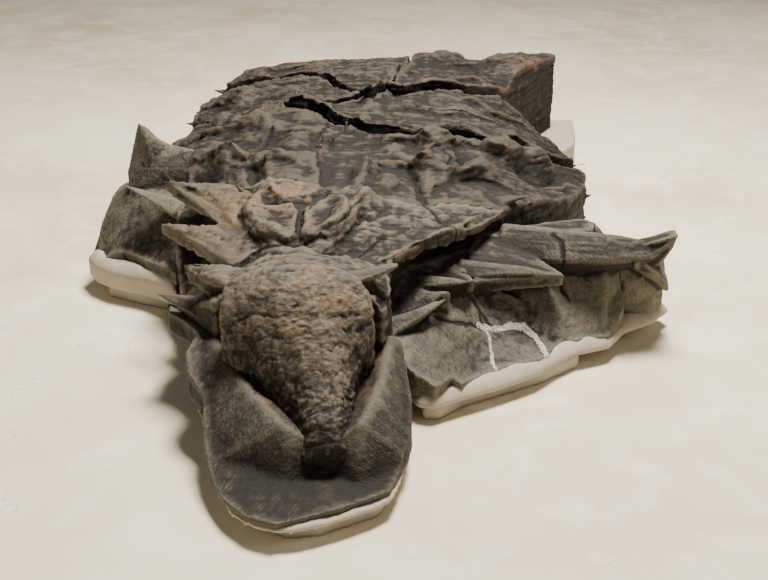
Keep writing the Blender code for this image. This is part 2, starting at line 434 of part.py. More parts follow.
def snout_height(x, y):
    """Top of the rock round the skull: a low bib in front that rises to the cheeks."""
    z = 0.066 + 0.115 * ease((y + 1.40) / 0.62)
    z = z + 0.050 * np.clip((-0.10 - x) / 0.30, 0.0, 1.0) * ease((y + 1.40) / 0.50)
    left = from_line(x, y, ((-0.36, -0.92), (-0.30, -1.03), (-0.22, -1.15), (-0.175, -1.22)))
    right = from_line(x, y, ((0.055, -0.90), (0.045, -1.00), (0.035, -1.12), (0.02, -1.20)))
    rise = ease((y + 1.24) / 0.34)
    z = z + 0.055 * rise * np.clip(1.0 - left / 0.09, 0.0, 1.0)
    return z + 0.060 * rise * np.clip(1.0 - right / 0.06, 0.0, 1.0)


def slab_height(x, y):
    """Top of the right shoulder slab, rising from its ragged front edge to the neck and the long spine."""
    edge = np.array(SLAB_EDGE)
    inward = y - np.interp(x, edge[:, 0], edge[:, 1])
    reach = np.interp(x, (0.45, 0.60, 0.70, 0.85), (0.40, 0.17, 0.05, 0.04))
    z = 0.075 + np.interp(x, (0.45, 0.60), (0.130, 0.145)) * ease(inward / reach)
    z = z + 0.105 * np.clip(1.0 - from_line(x, y, NECK_FOOT) / 0.22, 0.0, 1.0)
    z = z + 0.030 * np.clip(1.0 - from_line(x, y, ((0.45, -0.40), (0.78, -0.42))) / 0.12, 0.0, 1.0)
    z = np.minimum(z, LEDGE - 0.05)
    for points, _, _, _ in SHOULDER_SPINES[:4]:
        axis = np.array(points)
        away = from_line(x, y, tuple(map(tuple, axis[:, :2])))
        reach = np.clip((x - axis[0, 0]) / (axis[-1, 0] - axis[0, 0]), 0.0, 1.0)
        flank = np.interp(reach, np.linspace(0, 1, len(axis)), axis[:, 2]) - 0.010 - 0.13 * reach - 1.1 * away
        z = np.maximum(z, flank)
    root = 0.315 - 1.2 * np.maximum(from_line(x, y, SPINE_ROOT) - 0.035, 0.0)
    return np.maximum(z, np.minimum(root, 0.305))


def wing_height(x, y):
    """Top of the left wing, a rounded lobe behind its front edge."""
    edge = np.array(WING_EDGE)
    inward = y - np.interp(x, edge[:, 0], edge[:, 1])
    return 0.145 + 0.145 * ease(inward / 0.20) - 0.05 * ease((-0.74 - x) / 0.12)


def shrink(outline, inset):
    """Move each side of a closed outline inward by the inset."""
    points = [Vector(p) for p in outline]
    area = sum(a.x * b.y - b.x * a.y for a, b in zip(points, points[1:] + points[:1]))
    side = 1.0 if area > 0 else -1.0
    moved = []
    for before, here, after in zip(points[-1:] + points[:-1], points, points[1:] + points[:1]):
        first = (here - before).normalized()
        second = (after - here).normalized()
        normal = Vector((-first.y - second.y, first.x + second.x)) * side
        reach = min(inset / max(normal.length * 0.5, 0.35), 2.5 * inset) if normal.length > 1e-6 else inset
        moved.append(here + normal.normalized() * reach)
    return [(p.x, p.y) for p in moved]


def new_object(name, vertices, faces):
    """Make an object with closed, outward-facing triangles."""
    mesh = bpy.data.meshes.new(name)
    mesh.from_pydata([tuple(map(float, v)) for v in vertices], [], faces)
    shape = bmesh.new()
    shape.from_mesh(mesh)
    bmesh.ops.triangulate(shape, faces=shape.faces[:])
    bmesh.ops.recalc_face_normals(shape, faces=shape.faces[:])
    shape.to_mesh(mesh)
    shape.free()
    item = bpy.data.objects.new(name, mesh)
    bpy.context.scene.collection.objects.link(item)
    return item


def prism(name, outline, low, high, upper=None):
    """Closed prism between two levels, with another outline on top if one is given."""
    top = upper or outline
    n = len(outline)
    vertices = [(x, y, low) for x, y in outline] + [(x, y, high) for x, y in top]
    faces = [list(range(n)), list(range(2 * n - 1, n - 1, -1))]
    faces += [[k, (k + 1) % n, n + (k + 1) % n, n + k] for k in range(n)]
    return new_object(name, vertices, faces)


def field(name, shape, inset, lift=0.0, drop=0.0):
    """Block under the height function of a shape, cut to its outline moved inward by the inset."""
    outline, height, base, cell = SHAPES[shape]
    base = base - drop
    plan = np.array(outline)
    low, high = plan.min(axis=0) - 1.37 * cell, plan.max(axis=0) + 1.37 * cell
    nx, ny = (np.ceil((high - low) / cell).astype(int) + 1)
    xs, ys = np.linspace(low[0], high[0], nx), np.linspace(low[1], high[1], ny)
    gx, gy = np.meshgrid(xs, ys)
    gz = height(gx, gy) + lift
    vertices = [(x, y, z) for x, y, z in zip(gx.ravel(), gy.ravel(), gz.ravel())]
    faces = []
    for j in range(ny - 1):
        for i in range(nx - 1):
            a, b, c, d = j * nx + i, j * nx + i + 1, (j + 1) * nx + i + 1, (j + 1) * nx + i
            split = abs(gz[j, i] - gz[j + 1, i + 1]) <= abs(gz[j, i + 1] - gz[j + 1, i])
            faces += [(a, b, c), (a, c, d)] if split else [(a, b, d), (b, c, d)]
    ring = [i for i in range(nx)] + [j * nx + nx - 1 for j in range(1, ny)]
    ring += [(ny - 1) * nx + i for i in range(nx - 2, -1, -1)] + [j * nx for j in range(ny - 2, 0, -1)]
    first = len(vertices)
    vertices += [(vertices[k][0], vertices[k][1], base - 0.1) for k in ring]
    count = len(ring)
    faces += [(ring[k], first + k, first + (k + 1) % count, ring[(k + 1) % count]) for k in range(count)]
    faces.append([first + k for k in range(count)])
    block = new_object(name, vertices, faces)
    cut(block, prism(name + "_outline", shrink(outline, inset), base, base + TALL), "INTERSECT")
    return block


def horn(name, points, half_width, half_height, fullness, around=10, steps=7):
    """Spine with a keeled section that tapers along a curve, its root sunk behind the first point."""
    axis = [Vector(p) for p in points]
    axis.insert(0, axis[0] - (axis[1] - axis[0]).normalized() * 0.5 * half_width)
    where = np.linspace(0.0, 1.0, len(axis))
    path = np.array(axis)
    spots = np.linspace(0.0, 1.0, steps + 1)
    bend = 0.5 / (len(axis) - 1)
    spans = [spots + k * bend * np.minimum(spots, 1 - spots) * 2 for k in (-1.0, 0.0, 1.0)]
    centre = sum(np.stack([np.interp(span, where, path[:, c]) for c in range(3)], 1) for span in spans) / 3.0
    vertices, faces = [], []
    side = Vector(centre[1] - centre[0]).cross(Vector((0.0, 0.0, 1.0)))
    for k, spot in enumerate(spots[:-1]):
        ahead = Vector(centre[k + 1] - centre[max(k - 1, 0)]).normalized()
        side = (side - ahead * side.dot(ahead)).normalized()
        up = side.cross(ahead)
        taper = (1.0 - spot) ** (1.0 - 0.6 * fullness)
        for a in range(around):
            turn = 2.0 * np.pi * a / around
            pinch = 1.0 / (abs(np.cos(turn)) ** 1.6 + abs(np.sin(turn)) ** 1.6) ** (1.0 / 1.6)
            reach = side * (half_width * np.cos(turn) * pinch) + up * (half_height * np.sin(turn) * pinch)
            vertices.append(Vector(centre[k]) + reach * taper)
    vertices.append(Vector(centre[-1]))
    for k in range(steps - 1):
        for a in range(around):
            b = (a + 1) % around
            faces.append((k * around + a, k * around + b, (k + 1) * around + b, (k + 1) * around + a))
    last = (steps - 1) * around
    faces += [(last + a, last + (a + 1) % around, len(vertices) - 1) for a in range(around)]
    faces.append(list(range(around - 1, -1, -1)))
    return new_object(name, vertices, faces)


def blade(name, corners, through, rise):
    """Plate between a ring of corners and the same ring moved through it, each face a fan about its middle."""
    upper = [Vector(p) for p in corners]
    lower = [p + Vector(through) for p in upper]
    middle = sum(upper, Vector()) / len(upper)
    n = len(upper)
    vertices = upper + lower + [middle + Vector((0.0, 0.0, rise)), middle + Vector(through) * 1.6]
    faces = [(k, (k + 1) % n, 2 * n) for k in range(n)]
    faces += [(n + (k + 1) % n, n + k, 2 * n + 1) for k in range(n)]
    faces += [(n + k, n + (k + 1) % n, (k + 1) % n, k) for k in range(n)]
    return new_object(name, vertices, faces)


def spike(name, x, y, height):
    """Small upright thorn on the midline, leaning back."""
    foot = float(body_height(np.array([x]), np.array([y]))[0])
    points = ((x, y, foot - 0.03), (x, y + 0.005, foot + 0.4 * height), (x + 0.002, y + 0.015, foot + height))
    return horn(name, points, 0.030, 0.018, 0.05, around=6, steps=4)


def keep_largest(item):
    """Drop every loose piece of a mesh except the largest."""
    shape = bmesh.new()
    shape.from_mesh(item.data)
    bmesh.ops.remove_doubles(shape, verts=shape.verts[:], dist=0.00001)
    bmesh.ops.dissolve_degenerate(shape, edges=shape.edges[:], dist=0.00001)
    left, islands = set(shape.faces[:]), []
    while left:
        stack, island = [left.pop()], []
        while stack:
            face = stack.pop()
            island.append(face)
            for edge in face.edges:
                for other in edge.link_faces:
                    if other in left:
                        left.discard(other)
                        stack.append(other)
        islands.append(island)
    islands.sort(key=lambda faces: sum(f.calc_area() for f in faces))
    bmesh.ops.delete(shape, geom=[f for island in islands[:-1] for f in island], context="FACES")
    bmesh.ops.triangulate(shape, faces=shape.faces[:])
    shape.to_mesh(item.data)
    shape.free()


def cut(item, cutter, operation="DIFFERENCE"):
    """Cut an object with another one, which is then removed."""
    step = item.modifiers.new(operation.lower(), "BOOLEAN")
    step.operation = operation
    step.solver = "EXACT"
    step.object = cutter
    bake(item)
    bpy.data.objects.remove(cutter)


def bake(item):
    """Replace the mesh of an object by the result of its modifiers."""
    bpy.context.view_layer.update()
    graph = bpy.context.evaluated_depsgraph_get()
    mesh = bpy.data.meshes.new_from_object(item.evaluated_get(graph))
    item.modifiers.clear()
    item.data = mesh


def join(item, extras):
    """Join closed objects to a block, which then removes them."""
    group = bpy.data.collections.new(item.name + "_extras")
    for extra in extras:
        group.objects.link(extra)
    step = item.modifiers.new("join", "BOOLEAN")
    step.operation = "UNION"
    step.solver = "EXACT"
    step.operand_type = "COLLECTION"
    step.collection = group
    bake(item)
    for extra in extras:
        bpy.data.objects.remove(extra)
    bpy.data.collections.remove(group)


def finish(item, colour):
    """Clean a block, move it into place and give it its material."""
    keep_largest(item)
    for vertex in item.data.vertices:
        vertex.co.x += SHIFT[0]
        vertex.co.y += SHIFT[1]
    red, green, blue, rough = colour
    material = bpy.data.materials.new(item.name)
    material.use_nodes = True
    surface = material.node_tree.nodes["Principled BSDF"]
    surface.inputs["Base Color"].default_value = (red, green, blue, 1.0)
    surface.inputs["Roughness"].default_value = rough
    surface.inputs["Metallic"].default_value = 0.0
    item.data.materials.clear()
    item.data.materials.append(material)
    return item


def block(name, spines, colour, inset=0.5 * GAP, clear_of=(), blades=()):
    """Block of the fossil: a field cut to its outline, joined with its spines, clear of its neighbours."""
    item = field(name, name, inset)
    for outline, top in UNDERCUTS.get(name, ()):
        cut(item, prism("undercut", outline, 0.0, top))
    extras = [horn(f"{name}_spine_{k}", *sizes) for k, sizes in enumerate(spines)]
    extras += [blade(f"{name}_blade_{k}", *sizes) for k, sizes in enumerate(blades)]
    if name == "trunk_front":
        extras += [spike(f"{name}_spike_{k}", *sizes) for k, sizes in enumerate(SPIKES)]
    if extras:
        join(item, extras)
    for other in clear_of:
        cut(item, clearance(other))
    return finish(item, colour)


def clearance(name):
    """The field of a neighbour, grown by the seam on every side."""
    grown = field(name + "_clearance", name, -0.5 * GAP, GAP, 0.05)
    for outline, top in UNDERCUTS.get(name, ()):
        cut(grown, prism("undercut", shrink(outline, GAP), 0.0, top - GAP))
    return grown


def head():
    """The skull and the rock that it lies in."""
    block("skull", (), BONE)
    block("snout_rock", (), ROCK, clear_of=("skull",))


def shoulders():
    """Neck, right shoulder slab and left wing."""
    block("neck", NECK_SPINES, BONE, clear_of=("skull", "snout_rock"), blades=NECK_BLADES)
    block("right_shoulder", SHOULDER_SPINES, ROCK, clear_of=("neck", "trunk_front", "snout_rock"),
          blades=SHOULDER_BLADES)
    block("left_wing", WING_SPINES, ROCK, clear_of=("trunk_front",), blades=WING_BLADES)


def trunk():
    """The blocks behind the neck, parted along the open cracks."""
    half = 0.5 * CRACK
    block("trunk_front", TRUNK_FRONT_SPINES, BONE, half)
    block("trunk_middle", TRUNK_MIDDLE_SPINES, BONE, half)
    block("trunk_left", TRUNK_LEFT_SPINES, BONE, half)
    block("trunk_back", TRUNK_BACK_SPINES, BONE, half)
    block("hip", (), RUST, half)


def stand():
    """Plaster trays under the rock, blocks under the trays and the plinth under the hip."""
    trays = (("snout", SNOUT_TRAY, SNOUT_BASE), ("shoulder", SLAB_TRAY, SHOULDER_BASE),
             ("wing", WING_TRAY, WING_BASE), ("trunk", TRUNK_TRAY, TRUNK_BASE))
    for name, outline, level in trays:
        low, high = TRAY_BASE + 0.5 * GAP, level - GAP
        finish(prism(f"stand_tray_{name}", outline, low, high, shrink(outline, 0.012)), PLASTER)
    supports = (("snout", SNOUT_SUPPORT), ("shoulder", SLAB_SUPPORT), ("wing", WING_SUPPORT),
                ("trunk", TRUNK_SUPPORT))
    for name, outline in supports:
        finish(prism(f"stand_support_{name}", outline, 0.0, TRAY_BASE - 0.5 * GAP), PLASTER)
    finish(prism("stand_plinth", PLINTH, 0.0, HIP_BASE - GAP), PLASTER)


# Hollows under the blocks: outline, height of its roof
UNDERCUTS = {
    "neck": ((NECK_FOOT + NECK_OUTER[::-1], LEDGE), (CHEEK_HOLLOW, CHEEK_BASE)),
    "snout_rock": ((BIB_HOLLOW, BIB_BASE), (CHEEK_HOLLOW, CHEEK_BASE)),
}

# Outline, height function, underside and cell size of each block
SHAPES = {
    "skull": (SKULL_OUTLINE, skull_height, SKULL_BASE, 0.0145),
    "snout_rock": (SNOUT_RIM + NECK_FRONT[-2:0:-1], snout_height, SNOUT_BASE, 0.034),
    "neck": (NECK_FRONT + NECK_RIGHT[1:] + NECK_BACK[1:] + NECK_LEFT[1:], body_height, TRUNK_BASE, 0.026),
    "right_shoulder": (SLAB_OUTLINE + NECK_FOOT[::-1], slab_height, SHOULDER_BASE, 0.034),
    "left_wing": (WING_OUTLINE, wing_height, WING_BASE, 0.034),
    "trunk_front": (NECK_BACK[::-1] + TRUNK_RIGHT_FRONT + MAIN_CRACK[-3::-1] + LEFT_CRACK[-2:1:-1]
                    + TRUNK_LEFT_FRONT, body_height, TRUNK_BASE, 0.030),
    "trunk_middle": (MAIN_CRACK[:-1] + TRUNK_RIGHT_BACK + HIP_CRACK[::-1] + WEDGE_CRACK[1:2],
                     body_height, TRUNK_BASE, 0.034),
    "trunk_left": (LEFT_CRACK[2:] + WEDGE_CRACK[1:] + REAR_CRACK[1:-1] + TRUNK_LEFT_EDGE,
                   body_height, TRUNK_BASE, 0.034),
    "trunk_back": (REAR_CRACK[-2::-1] + HIP_MIDLINE[:3] + BACK_EDGE, body_height, TRUNK_BASE, 0.034),
    "hip": (HIP_CRACK[1:] + HIP_FACE[1:] + HIP_EDGE + HIP_MIDLINE[2:0:-1], body_height, HIP_BASE, 0.034),
}

clear_scene()
head()
shoulders()
trunk()
stand()
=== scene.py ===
import logging
import math
from dataclasses import dataclass
from enum import Enum
from typing import Callable

import bpy
import numpy as np
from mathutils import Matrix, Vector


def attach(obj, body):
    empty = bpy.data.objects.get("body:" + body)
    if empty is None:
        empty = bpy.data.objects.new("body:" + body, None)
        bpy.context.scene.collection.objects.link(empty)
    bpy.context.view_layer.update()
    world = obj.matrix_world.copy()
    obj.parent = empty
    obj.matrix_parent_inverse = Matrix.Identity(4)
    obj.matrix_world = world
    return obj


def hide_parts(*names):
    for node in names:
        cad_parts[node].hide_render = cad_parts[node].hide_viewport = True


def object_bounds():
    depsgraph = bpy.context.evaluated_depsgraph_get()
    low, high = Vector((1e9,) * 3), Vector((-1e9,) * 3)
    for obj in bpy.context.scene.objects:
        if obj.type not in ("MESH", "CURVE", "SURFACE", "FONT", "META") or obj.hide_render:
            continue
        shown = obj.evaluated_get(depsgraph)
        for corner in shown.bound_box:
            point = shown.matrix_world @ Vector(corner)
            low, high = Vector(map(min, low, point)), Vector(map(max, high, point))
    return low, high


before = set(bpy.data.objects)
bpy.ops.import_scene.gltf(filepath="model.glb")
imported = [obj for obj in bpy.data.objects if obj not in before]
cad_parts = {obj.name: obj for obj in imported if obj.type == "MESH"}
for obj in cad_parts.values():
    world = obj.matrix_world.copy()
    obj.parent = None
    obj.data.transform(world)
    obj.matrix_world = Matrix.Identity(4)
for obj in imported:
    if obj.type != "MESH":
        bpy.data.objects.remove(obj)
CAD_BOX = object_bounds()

LOG = logging.getLogger("fossil")
Line = tuple[tuple[float, float], ...]
Height = Callable[[np.ndarray, np.ndarray], np.ndarray]
Shade = Callable[[np.ndarray, np.ndarray, np.ndarray], np.ndarray]
Pair = tuple[np.ndarray, np.ndarray]

# Sizes in metres. The outlines and heights follow the CAD model, and are moved by SHIFT into the row frame.
SHIFT = (0.0, 0.03)
CRACK = 0.008
SNOUT_BASE = 0.05
SHOULDER_BASE = 0.06
WING_BASE = 0.105
TRUNK_BASE = 0.07
HIP_BASE = 0.13
SKULL_BASE = 0.0706
CHEEK_BASE = 0.165
BIB_BASE = 0.115
LEDGE = 0.335
TRAY_BASE = 0.04

# Cross-sections of the neck and trunk: y, left x, left z, crest x, crest z, right x, right z
BODY = (
    (-1.0, -0.38, 0.24, -0.15, 0.39, 0.05, 0.27),
    (-0.9, -0.4, 0.27, -0.15, 0.395, 0.08, 0.3),
    (-0.78, -0.43, 0.26, -0.17, 0.38, 0.12, 0.33),
    (-0.66, -0.44, 0.25, -0.18, 0.395, 0.2, 0.35),
    (-0.5, -0.46, 0.26, -0.18, 0.42, 0.33, 0.35),
    (-0.3, -0.55, 0.29, -0.16, 0.43, 0.5, 0.33),
    (-0.1, -0.6, 0.33, -0.12, 0.44, 0.62, 0.29),
    (0.1, -0.64, 0.34, -0.07, 0.45, 0.7, 0.26),
    (0.3, -0.68, 0.33, 0.0, 0.46, 0.72, 0.25),
    (0.5, -0.66, 0.33, 0.06, 0.47, 0.66, 0.29),
    (0.72, -0.62, 0.35, 0.12, 0.475, 0.6, 0.36),
    (0.9, -0.6, 0.36, 0.16, 0.48, 0.66, 0.4),
    (1.1, -0.5, 0.39, 0.2, 0.47, 0.74, 0.42),
    (1.32, -0.45, 0.37, 0.25, 0.45, 0.76, 0.43),
)

# Cross-sections of the skull roof, in the same order. Its sides fall lower than in the CAD model.
SKULL = (
    (-1.262, -0.125, 0.088, -0.085, 0.092, -0.035, 0.088),
    (-1.25, -0.14, 0.095, -0.085, 0.118, -0.02, 0.095),
    (-1.238, -0.146, 0.106, -0.085, 0.15, -0.015, 0.104),
    (-1.215, -0.15, 0.118, -0.085, 0.18, -0.013, 0.114),
    (-1.16, -0.165, 0.148, -0.09, 0.22, -0.016, 0.14),
    (-1.1, -0.215, 0.195, -0.11, 0.285, -0.018, 0.19),
    (-1.04, -0.27, 0.262, -0.13, 0.346, -0.01, 0.248),
    (-0.98, -0.335, 0.33, -0.145, 0.396, 0.03, 0.322),
    (-0.93, -0.33, 0.368, -0.145, 0.412, 0.025, 0.362),
    (-0.86, -0.32, 0.375, -0.145, 0.405, 0.025, 0.37),
)

# Front edge of the right shoulder slab and of the left wing: x, y
SLAB_EDGE = ((0.05, -0.82), (0.1, -0.875), (0.17, -0.912), (0.24, -0.868), (0.34, -0.785), (0.42, -0.738),
             (0.48, -0.7), (0.53, -0.615), (0.65, -0.585), (0.71, -0.475), (0.81, -0.417), (0.85, -0.365))
WING_EDGE = ((-0.86, -0.08), (-0.83, -0.125), (-0.76, -0.155), (-0.7, -0.185), (-0.65, -0.23),
             (-0.58, -0.295), (-0.5, -0.38))

# Low keeled plates: x, y, length, width, height, heading of the keel in degrees from +X
PLATES = (
    (0.0, -0.27, 0.13, 0.1, 0.045, 60), (0.17, -0.22, 0.15, 0.12, 0.06, 70),
    (0.05, -0.33, 0.12, 0.09, 0.03, 65), (0.2, 0.02, 0.15, 0.13, 0.045, 60),
    (0.08, -0.05, 0.12, 0.1, 0.03, 75), (0.33, -0.15, 0.15, 0.12, 0.045, 50),
    (-0.3, -0.37, 0.16, 0.1, 0.045, 120), (-0.4, -0.12, 0.15, 0.12, 0.035, 130),
    (-0.22, 0.02, 0.16, 0.14, 0.03, 110), (-0.36, 0.2, 0.16, 0.13, 0.035, 120),
    (-0.48, 0.06, 0.13, 0.11, 0.035, 140), (0.42, 0.07, 0.16, 0.13, 0.055, 45),
    (-0.49, 0.34, 0.15, 0.12, 0.04, 130), (-0.2, 0.24, 0.15, 0.13, 0.025, 100),
    (0.54, 0.12, 0.13, 0.11, 0.05, 30), (-0.45, 0.6, 0.15, 0.13, 0.035, 120),
    (-0.28, 0.58, 0.16, 0.14, 0.025, 110), (0.36, 0.45, 0.18, 0.15, 0.02, 70),
    (-0.42, 0.95, 0.14, 0.12, 0.03, 115), (-0.18, 0.92, 0.18, 0.15, 0.02, 95),
    (0.3, 0.86, 0.18, 0.15, 0.02, 80),
)

# Raised rims: half width, height, then the points x, y of each
RIMS = (
    (0.035, 0.04, ((-0.29, -0.43), (-0.31, -0.54), (-0.27, -0.65), (-0.23, -0.7))),
    (0.035, 0.045, ((-0.1, -0.72), (-0.06, -0.65), (-0.04, -0.57), (0.0, -0.48))),
    (0.04, 0.02, ((-0.2, -0.75), (-0.1, -0.8), (0.0, -0.82))),
    (0.04, 0.025, ((-0.62, 0.1), (-0.5, -0.02), (-0.42, -0.14))),
)

# Relief of the trunk: knobs on the midline with their height and reach, reach of the lips beside the open
# cracks, and flakes with their height
KNOB = 0.03
KNOB_RISE = 0.026
KNOB_REACH = 0.045
LIP_REACH = 0.05
FLAKE = 0.16
FLAKE_RISE = 0.036
MIDLINE = ((-0.15, -0.2), (-0.12, -0.02), (-0.06, 0.12), (0.0, 0.3), (0.03, 0.5), (0.1, 0.75), (0.15, 1.0))

# Hollows: x, y, radius, depth
HOLLOWS = ((-0.45, -0.44, 0.09, 0.13), (-0.5, -0.19, 0.06, 0.06), (0.5, -0.02, 0.06, 0.07),
           (0.3, -0.05, 0.06, 0.03), (0.58, 0.04, 0.05, 0.06), (0.41, 1.12, 0.09, 0.05))

# Ledges of the neck and trunk, which rise from behind and drop off in front: height, reach, then the points
# x, y of the edge
LEDGES = (
    (0.045, 0.1, ((0.34, 0.045), (0.394, 0.015), (0.439, 0.02), (0.487, 0.075), (0.53, 0.095))),
    (0.04, 0.09, ((0.214, -0.3), (0.251, -0.235), (0.29, -0.205), (0.339, -0.19), (0.37, -0.2))),
    (0.036, 0.08, ((0.06, -0.225), (0.109, -0.215), (0.137, -0.235), (0.164, -0.25), (0.205, -0.262))),
    (0.03, 0.1, ((-0.5, -0.06), (-0.44, -0.09), (-0.386, -0.14), (-0.343, -0.16), (-0.304, -0.165))),
    (0.018, 0.08, ((-0.3, -0.165), (-0.254, -0.175), (-0.206, -0.215), (-0.174, -0.255))),
    (0.028, 0.1, ((-0.6, 0.24), (-0.52, 0.2), (-0.44, 0.19), (-0.36, 0.16))),
    (0.022, 0.09, ((-0.36, 0.16), (-0.28, 0.1), (-0.2, 0.09), (-0.15, 0.06))),
    (0.03, 0.09, ((0.02, 0.02), (0.09, 0.045), (0.15, 0.02), (0.21, -0.02))),
    (0.028, 0.08, ((0.21, -0.02), (0.27, 0.04), (0.32, 0.05))),
    (0.02, 0.12, ((0.1, 0.33), (0.22, 0.3), (0.34, 0.33))),
    (0.025, 0.1, ((0.28, 0.46), (0.4, 0.43), (0.5, 0.46), (0.58, 0.44))),
    (0.022, 0.12, ((-0.58, 0.66), (-0.48, 0.62), (-0.38, 0.64))),
    (0.02, 0.1, ((-0.4, 0.76), (-0.3, 0.7), (-0.2, 0.7))),
    (0.02, 0.1, ((-0.46, 1.0), (-0.34, 0.97), (-0.22, 0.98))),
    (0.018, 0.1, ((-0.16, 0.88), (-0.06, 0.86), (0.02, 0.88))),
    (0.02, 0.12, ((0.2, 0.76), (0.3, 0.74), (0.42, 0.8))),
    (0.02, 0.12, ((0.28, 1.02), (0.4, 0.99), (0.52, 1.04))),
)

# Cracks between trunk blocks: x, y
LEFT_CRACK = ((-0.8, 0.57), (-0.66, 0.56), (-0.587, 0.534), (-0.422, 0.393), (-0.381, 0.459), (-0.3, 0.43),
              (-0.241, 0.373))
MAIN_CRACK = ((-0.241, 0.373), (-0.163, 0.329), (-0.093, 0.213), (-0.022, 0.166), (0.048, 0.166),
              (0.136, 0.122), (0.256, 0.203), (0.345, 0.192), (0.408, 0.17), (0.471, 0.261),
              (0.565, 0.245), (0.7, 0.315), (0.85, 0.36))
WEDGE_CRACK = ((-0.241, 0.373), (-0.14, 0.426), (-0.007, 0.479))
REAR_CRACK = ((-0.007, 0.479), (-0.101, 0.662), (-0.162, 0.736), (-0.257, 0.872), (-0.322, 0.876),
              (-0.457, 0.906), (-0.7, 0.88))
HIP_CRACK = ((-0.007, 0.479), (0.051, 0.55), (0.117, 0.536), (0.199, 0.604), (0.349, 0.638), (0.456, 0.705))
HIP_MIDLINE = ((0.051, 0.55), (0.1, 0.75), (0.14, 0.95), (0.16, 1.4))

# How much higher the rock stands on the far and on the near side of each crack
CRACK_LIPS = ((MAIN_CRACK, 0.012, -0.01), (HIP_CRACK, 0.02, -0.008), (REAR_CRACK, -0.004, 0.006),
              (WEDGE_CRACK, 0.006, 0.004))

# How far the rock stands back from each open crack, on either side
OPEN_CRACKS = ((MAIN_CRACK, 0.024), (HIP_CRACK, 0.016), (REAR_CRACK, 0.014), (WEDGE_CRACK, 0.024),
               (LEFT_CRACK, 0.014))

# Spines of each block: points of the axis, half width and half thickness at the root, fullness of the tip
NECK_SPINES = (
    (((-0.08, -0.87, 0.35), (0.0, -0.875, 0.375), (0.085, -0.862, 0.4)), 0.048, 0.034, 0.85),
    (((-0.34, -0.8, 0.24), (-0.44, -0.765, 0.25), (-0.545, -0.722, 0.27)), 0.105, 0.08, -0.2),
    (((-0.26, -0.76, 0.345), (-0.4, -0.62, 0.35), (-0.53, -0.476, 0.348)), 0.06, 0.034, 0.25),
    (((-0.3, -0.62, 0.375), (-0.43, -0.43, 0.388), (-0.572, -0.245, 0.395)), 0.06, 0.034, 0.2),
)
TRUNK_FRONT_SPINES = (
    (((0.36, -0.3, 0.35), (0.4, -0.32, 0.37), (0.465, -0.315, 0.38)), 0.06, 0.03, 0.2),
    (((0.42, -0.14, 0.3), (0.54, -0.06, 0.305), (0.63, 0.02, 0.3)), 0.065, 0.026, 0.3),
    (((0.5, 0.02, 0.215), (0.62, 0.08, 0.225), (0.735, 0.17, 0.215)), 0.08, 0.034, 0.3),
    (((0.5, 0.05, 0.13), (0.62, 0.1, 0.135), (0.725, 0.2, 0.13)), 0.08, 0.038, 0.45),
    (((0.4, 0.06, 0.34), (0.47, 0.14, 0.375), (0.56, 0.13, 0.385)), 0.06, 0.04, 0.0),
    (((-0.59, 0.28, 0.3), (-0.67, 0.31, 0.33), (-0.735, 0.355, 0.325)), 0.055, 0.03, 0.1),
)
SHOULDER_SPINES = (
    (((0.06, -0.76, 0.18), (0.13, -0.745, 0.21), (0.218, -0.695, 0.242)), 0.055, 0.045, 0.25),
    (((0.1, -0.6, 0.235), (0.18, -0.62, 0.248), (0.278, -0.635, 0.255)), 0.06, 0.045, 0.35),
    (((0.27, -0.545, 0.25), (0.4, -0.56, 0.255), (0.522, -0.576, 0.248)), 0.06, 0.04, 0.25),
    (((0.4, -0.4, 0.255), (0.57, -0.46, 0.27), (0.7, -0.472, 0.272), (0.8, -0.476, 0.275)),
     0.095, 0.08, 1.0),
    (((0.74, -0.472, 0.262), (0.8, -0.476, 0.29), (0.845, -0.484, 0.335)), 0.06, 0.05, 0.2),
    (((0.74, -0.45, 0.25), (0.81, -0.43, 0.19), (0.85, -0.385, 0.12)), 0.065, 0.042, 0.8),
    (((0.62, -0.4, 0.2), (0.63, -0.395, 0.29), (0.632, -0.39, 0.345)), 0.026, 0.018, 0.1),
)
WING_SPINES = (
    (((-0.57, -0.16, 0.29), (-0.65, -0.13, 0.315), (-0.752, -0.088, 0.34)), 0.07, 0.038, 0.0),
    (((-0.6, 0.11, 0.26), (-0.68, 0.08, 0.33), (-0.7, 0.03, 0.42), (-0.698, 0.012, 0.5)),
     0.12, 0.09, -0.5),
    (((-0.5, 0.17, 0.3), (-0.61, 0.1, 0.32), (-0.7, 0.035, 0.37)), 0.1, 0.06, 0.6),
)
TRUNK_LEFT_SPINES = (
    (((-0.55, 0.62, 0.32), (-0.61, 0.6, 0.325), (-0.672, 0.575, 0.335)), 0.07, 0.034, 0.0),
    (((-0.53, 0.74, 0.325), (-0.59, 0.72, 0.335), (-0.652, 0.7, 0.345)), 0.065, 0.032, 0.0),
    (((-0.52, 0.83, 0.33), (-0.57, 0.825, 0.34), (-0.625, 0.82, 0.352)), 0.04, 0.026, 0.0),
)
TRUNK_BACK_SPINES = (
    (((-0.51, 0.98, 0.34), (-0.56, 0.96, 0.35), (-0.615, 0.945, 0.365)), 0.06, 0.032, 0.0),
)
TRUNK_MIDDLE_SPINES = (
    (((0.58, 0.38, 0.24), (0.66, 0.38, 0.24), (0.735, 0.385, 0.245)), 0.04, 0.024, 0.1),
)

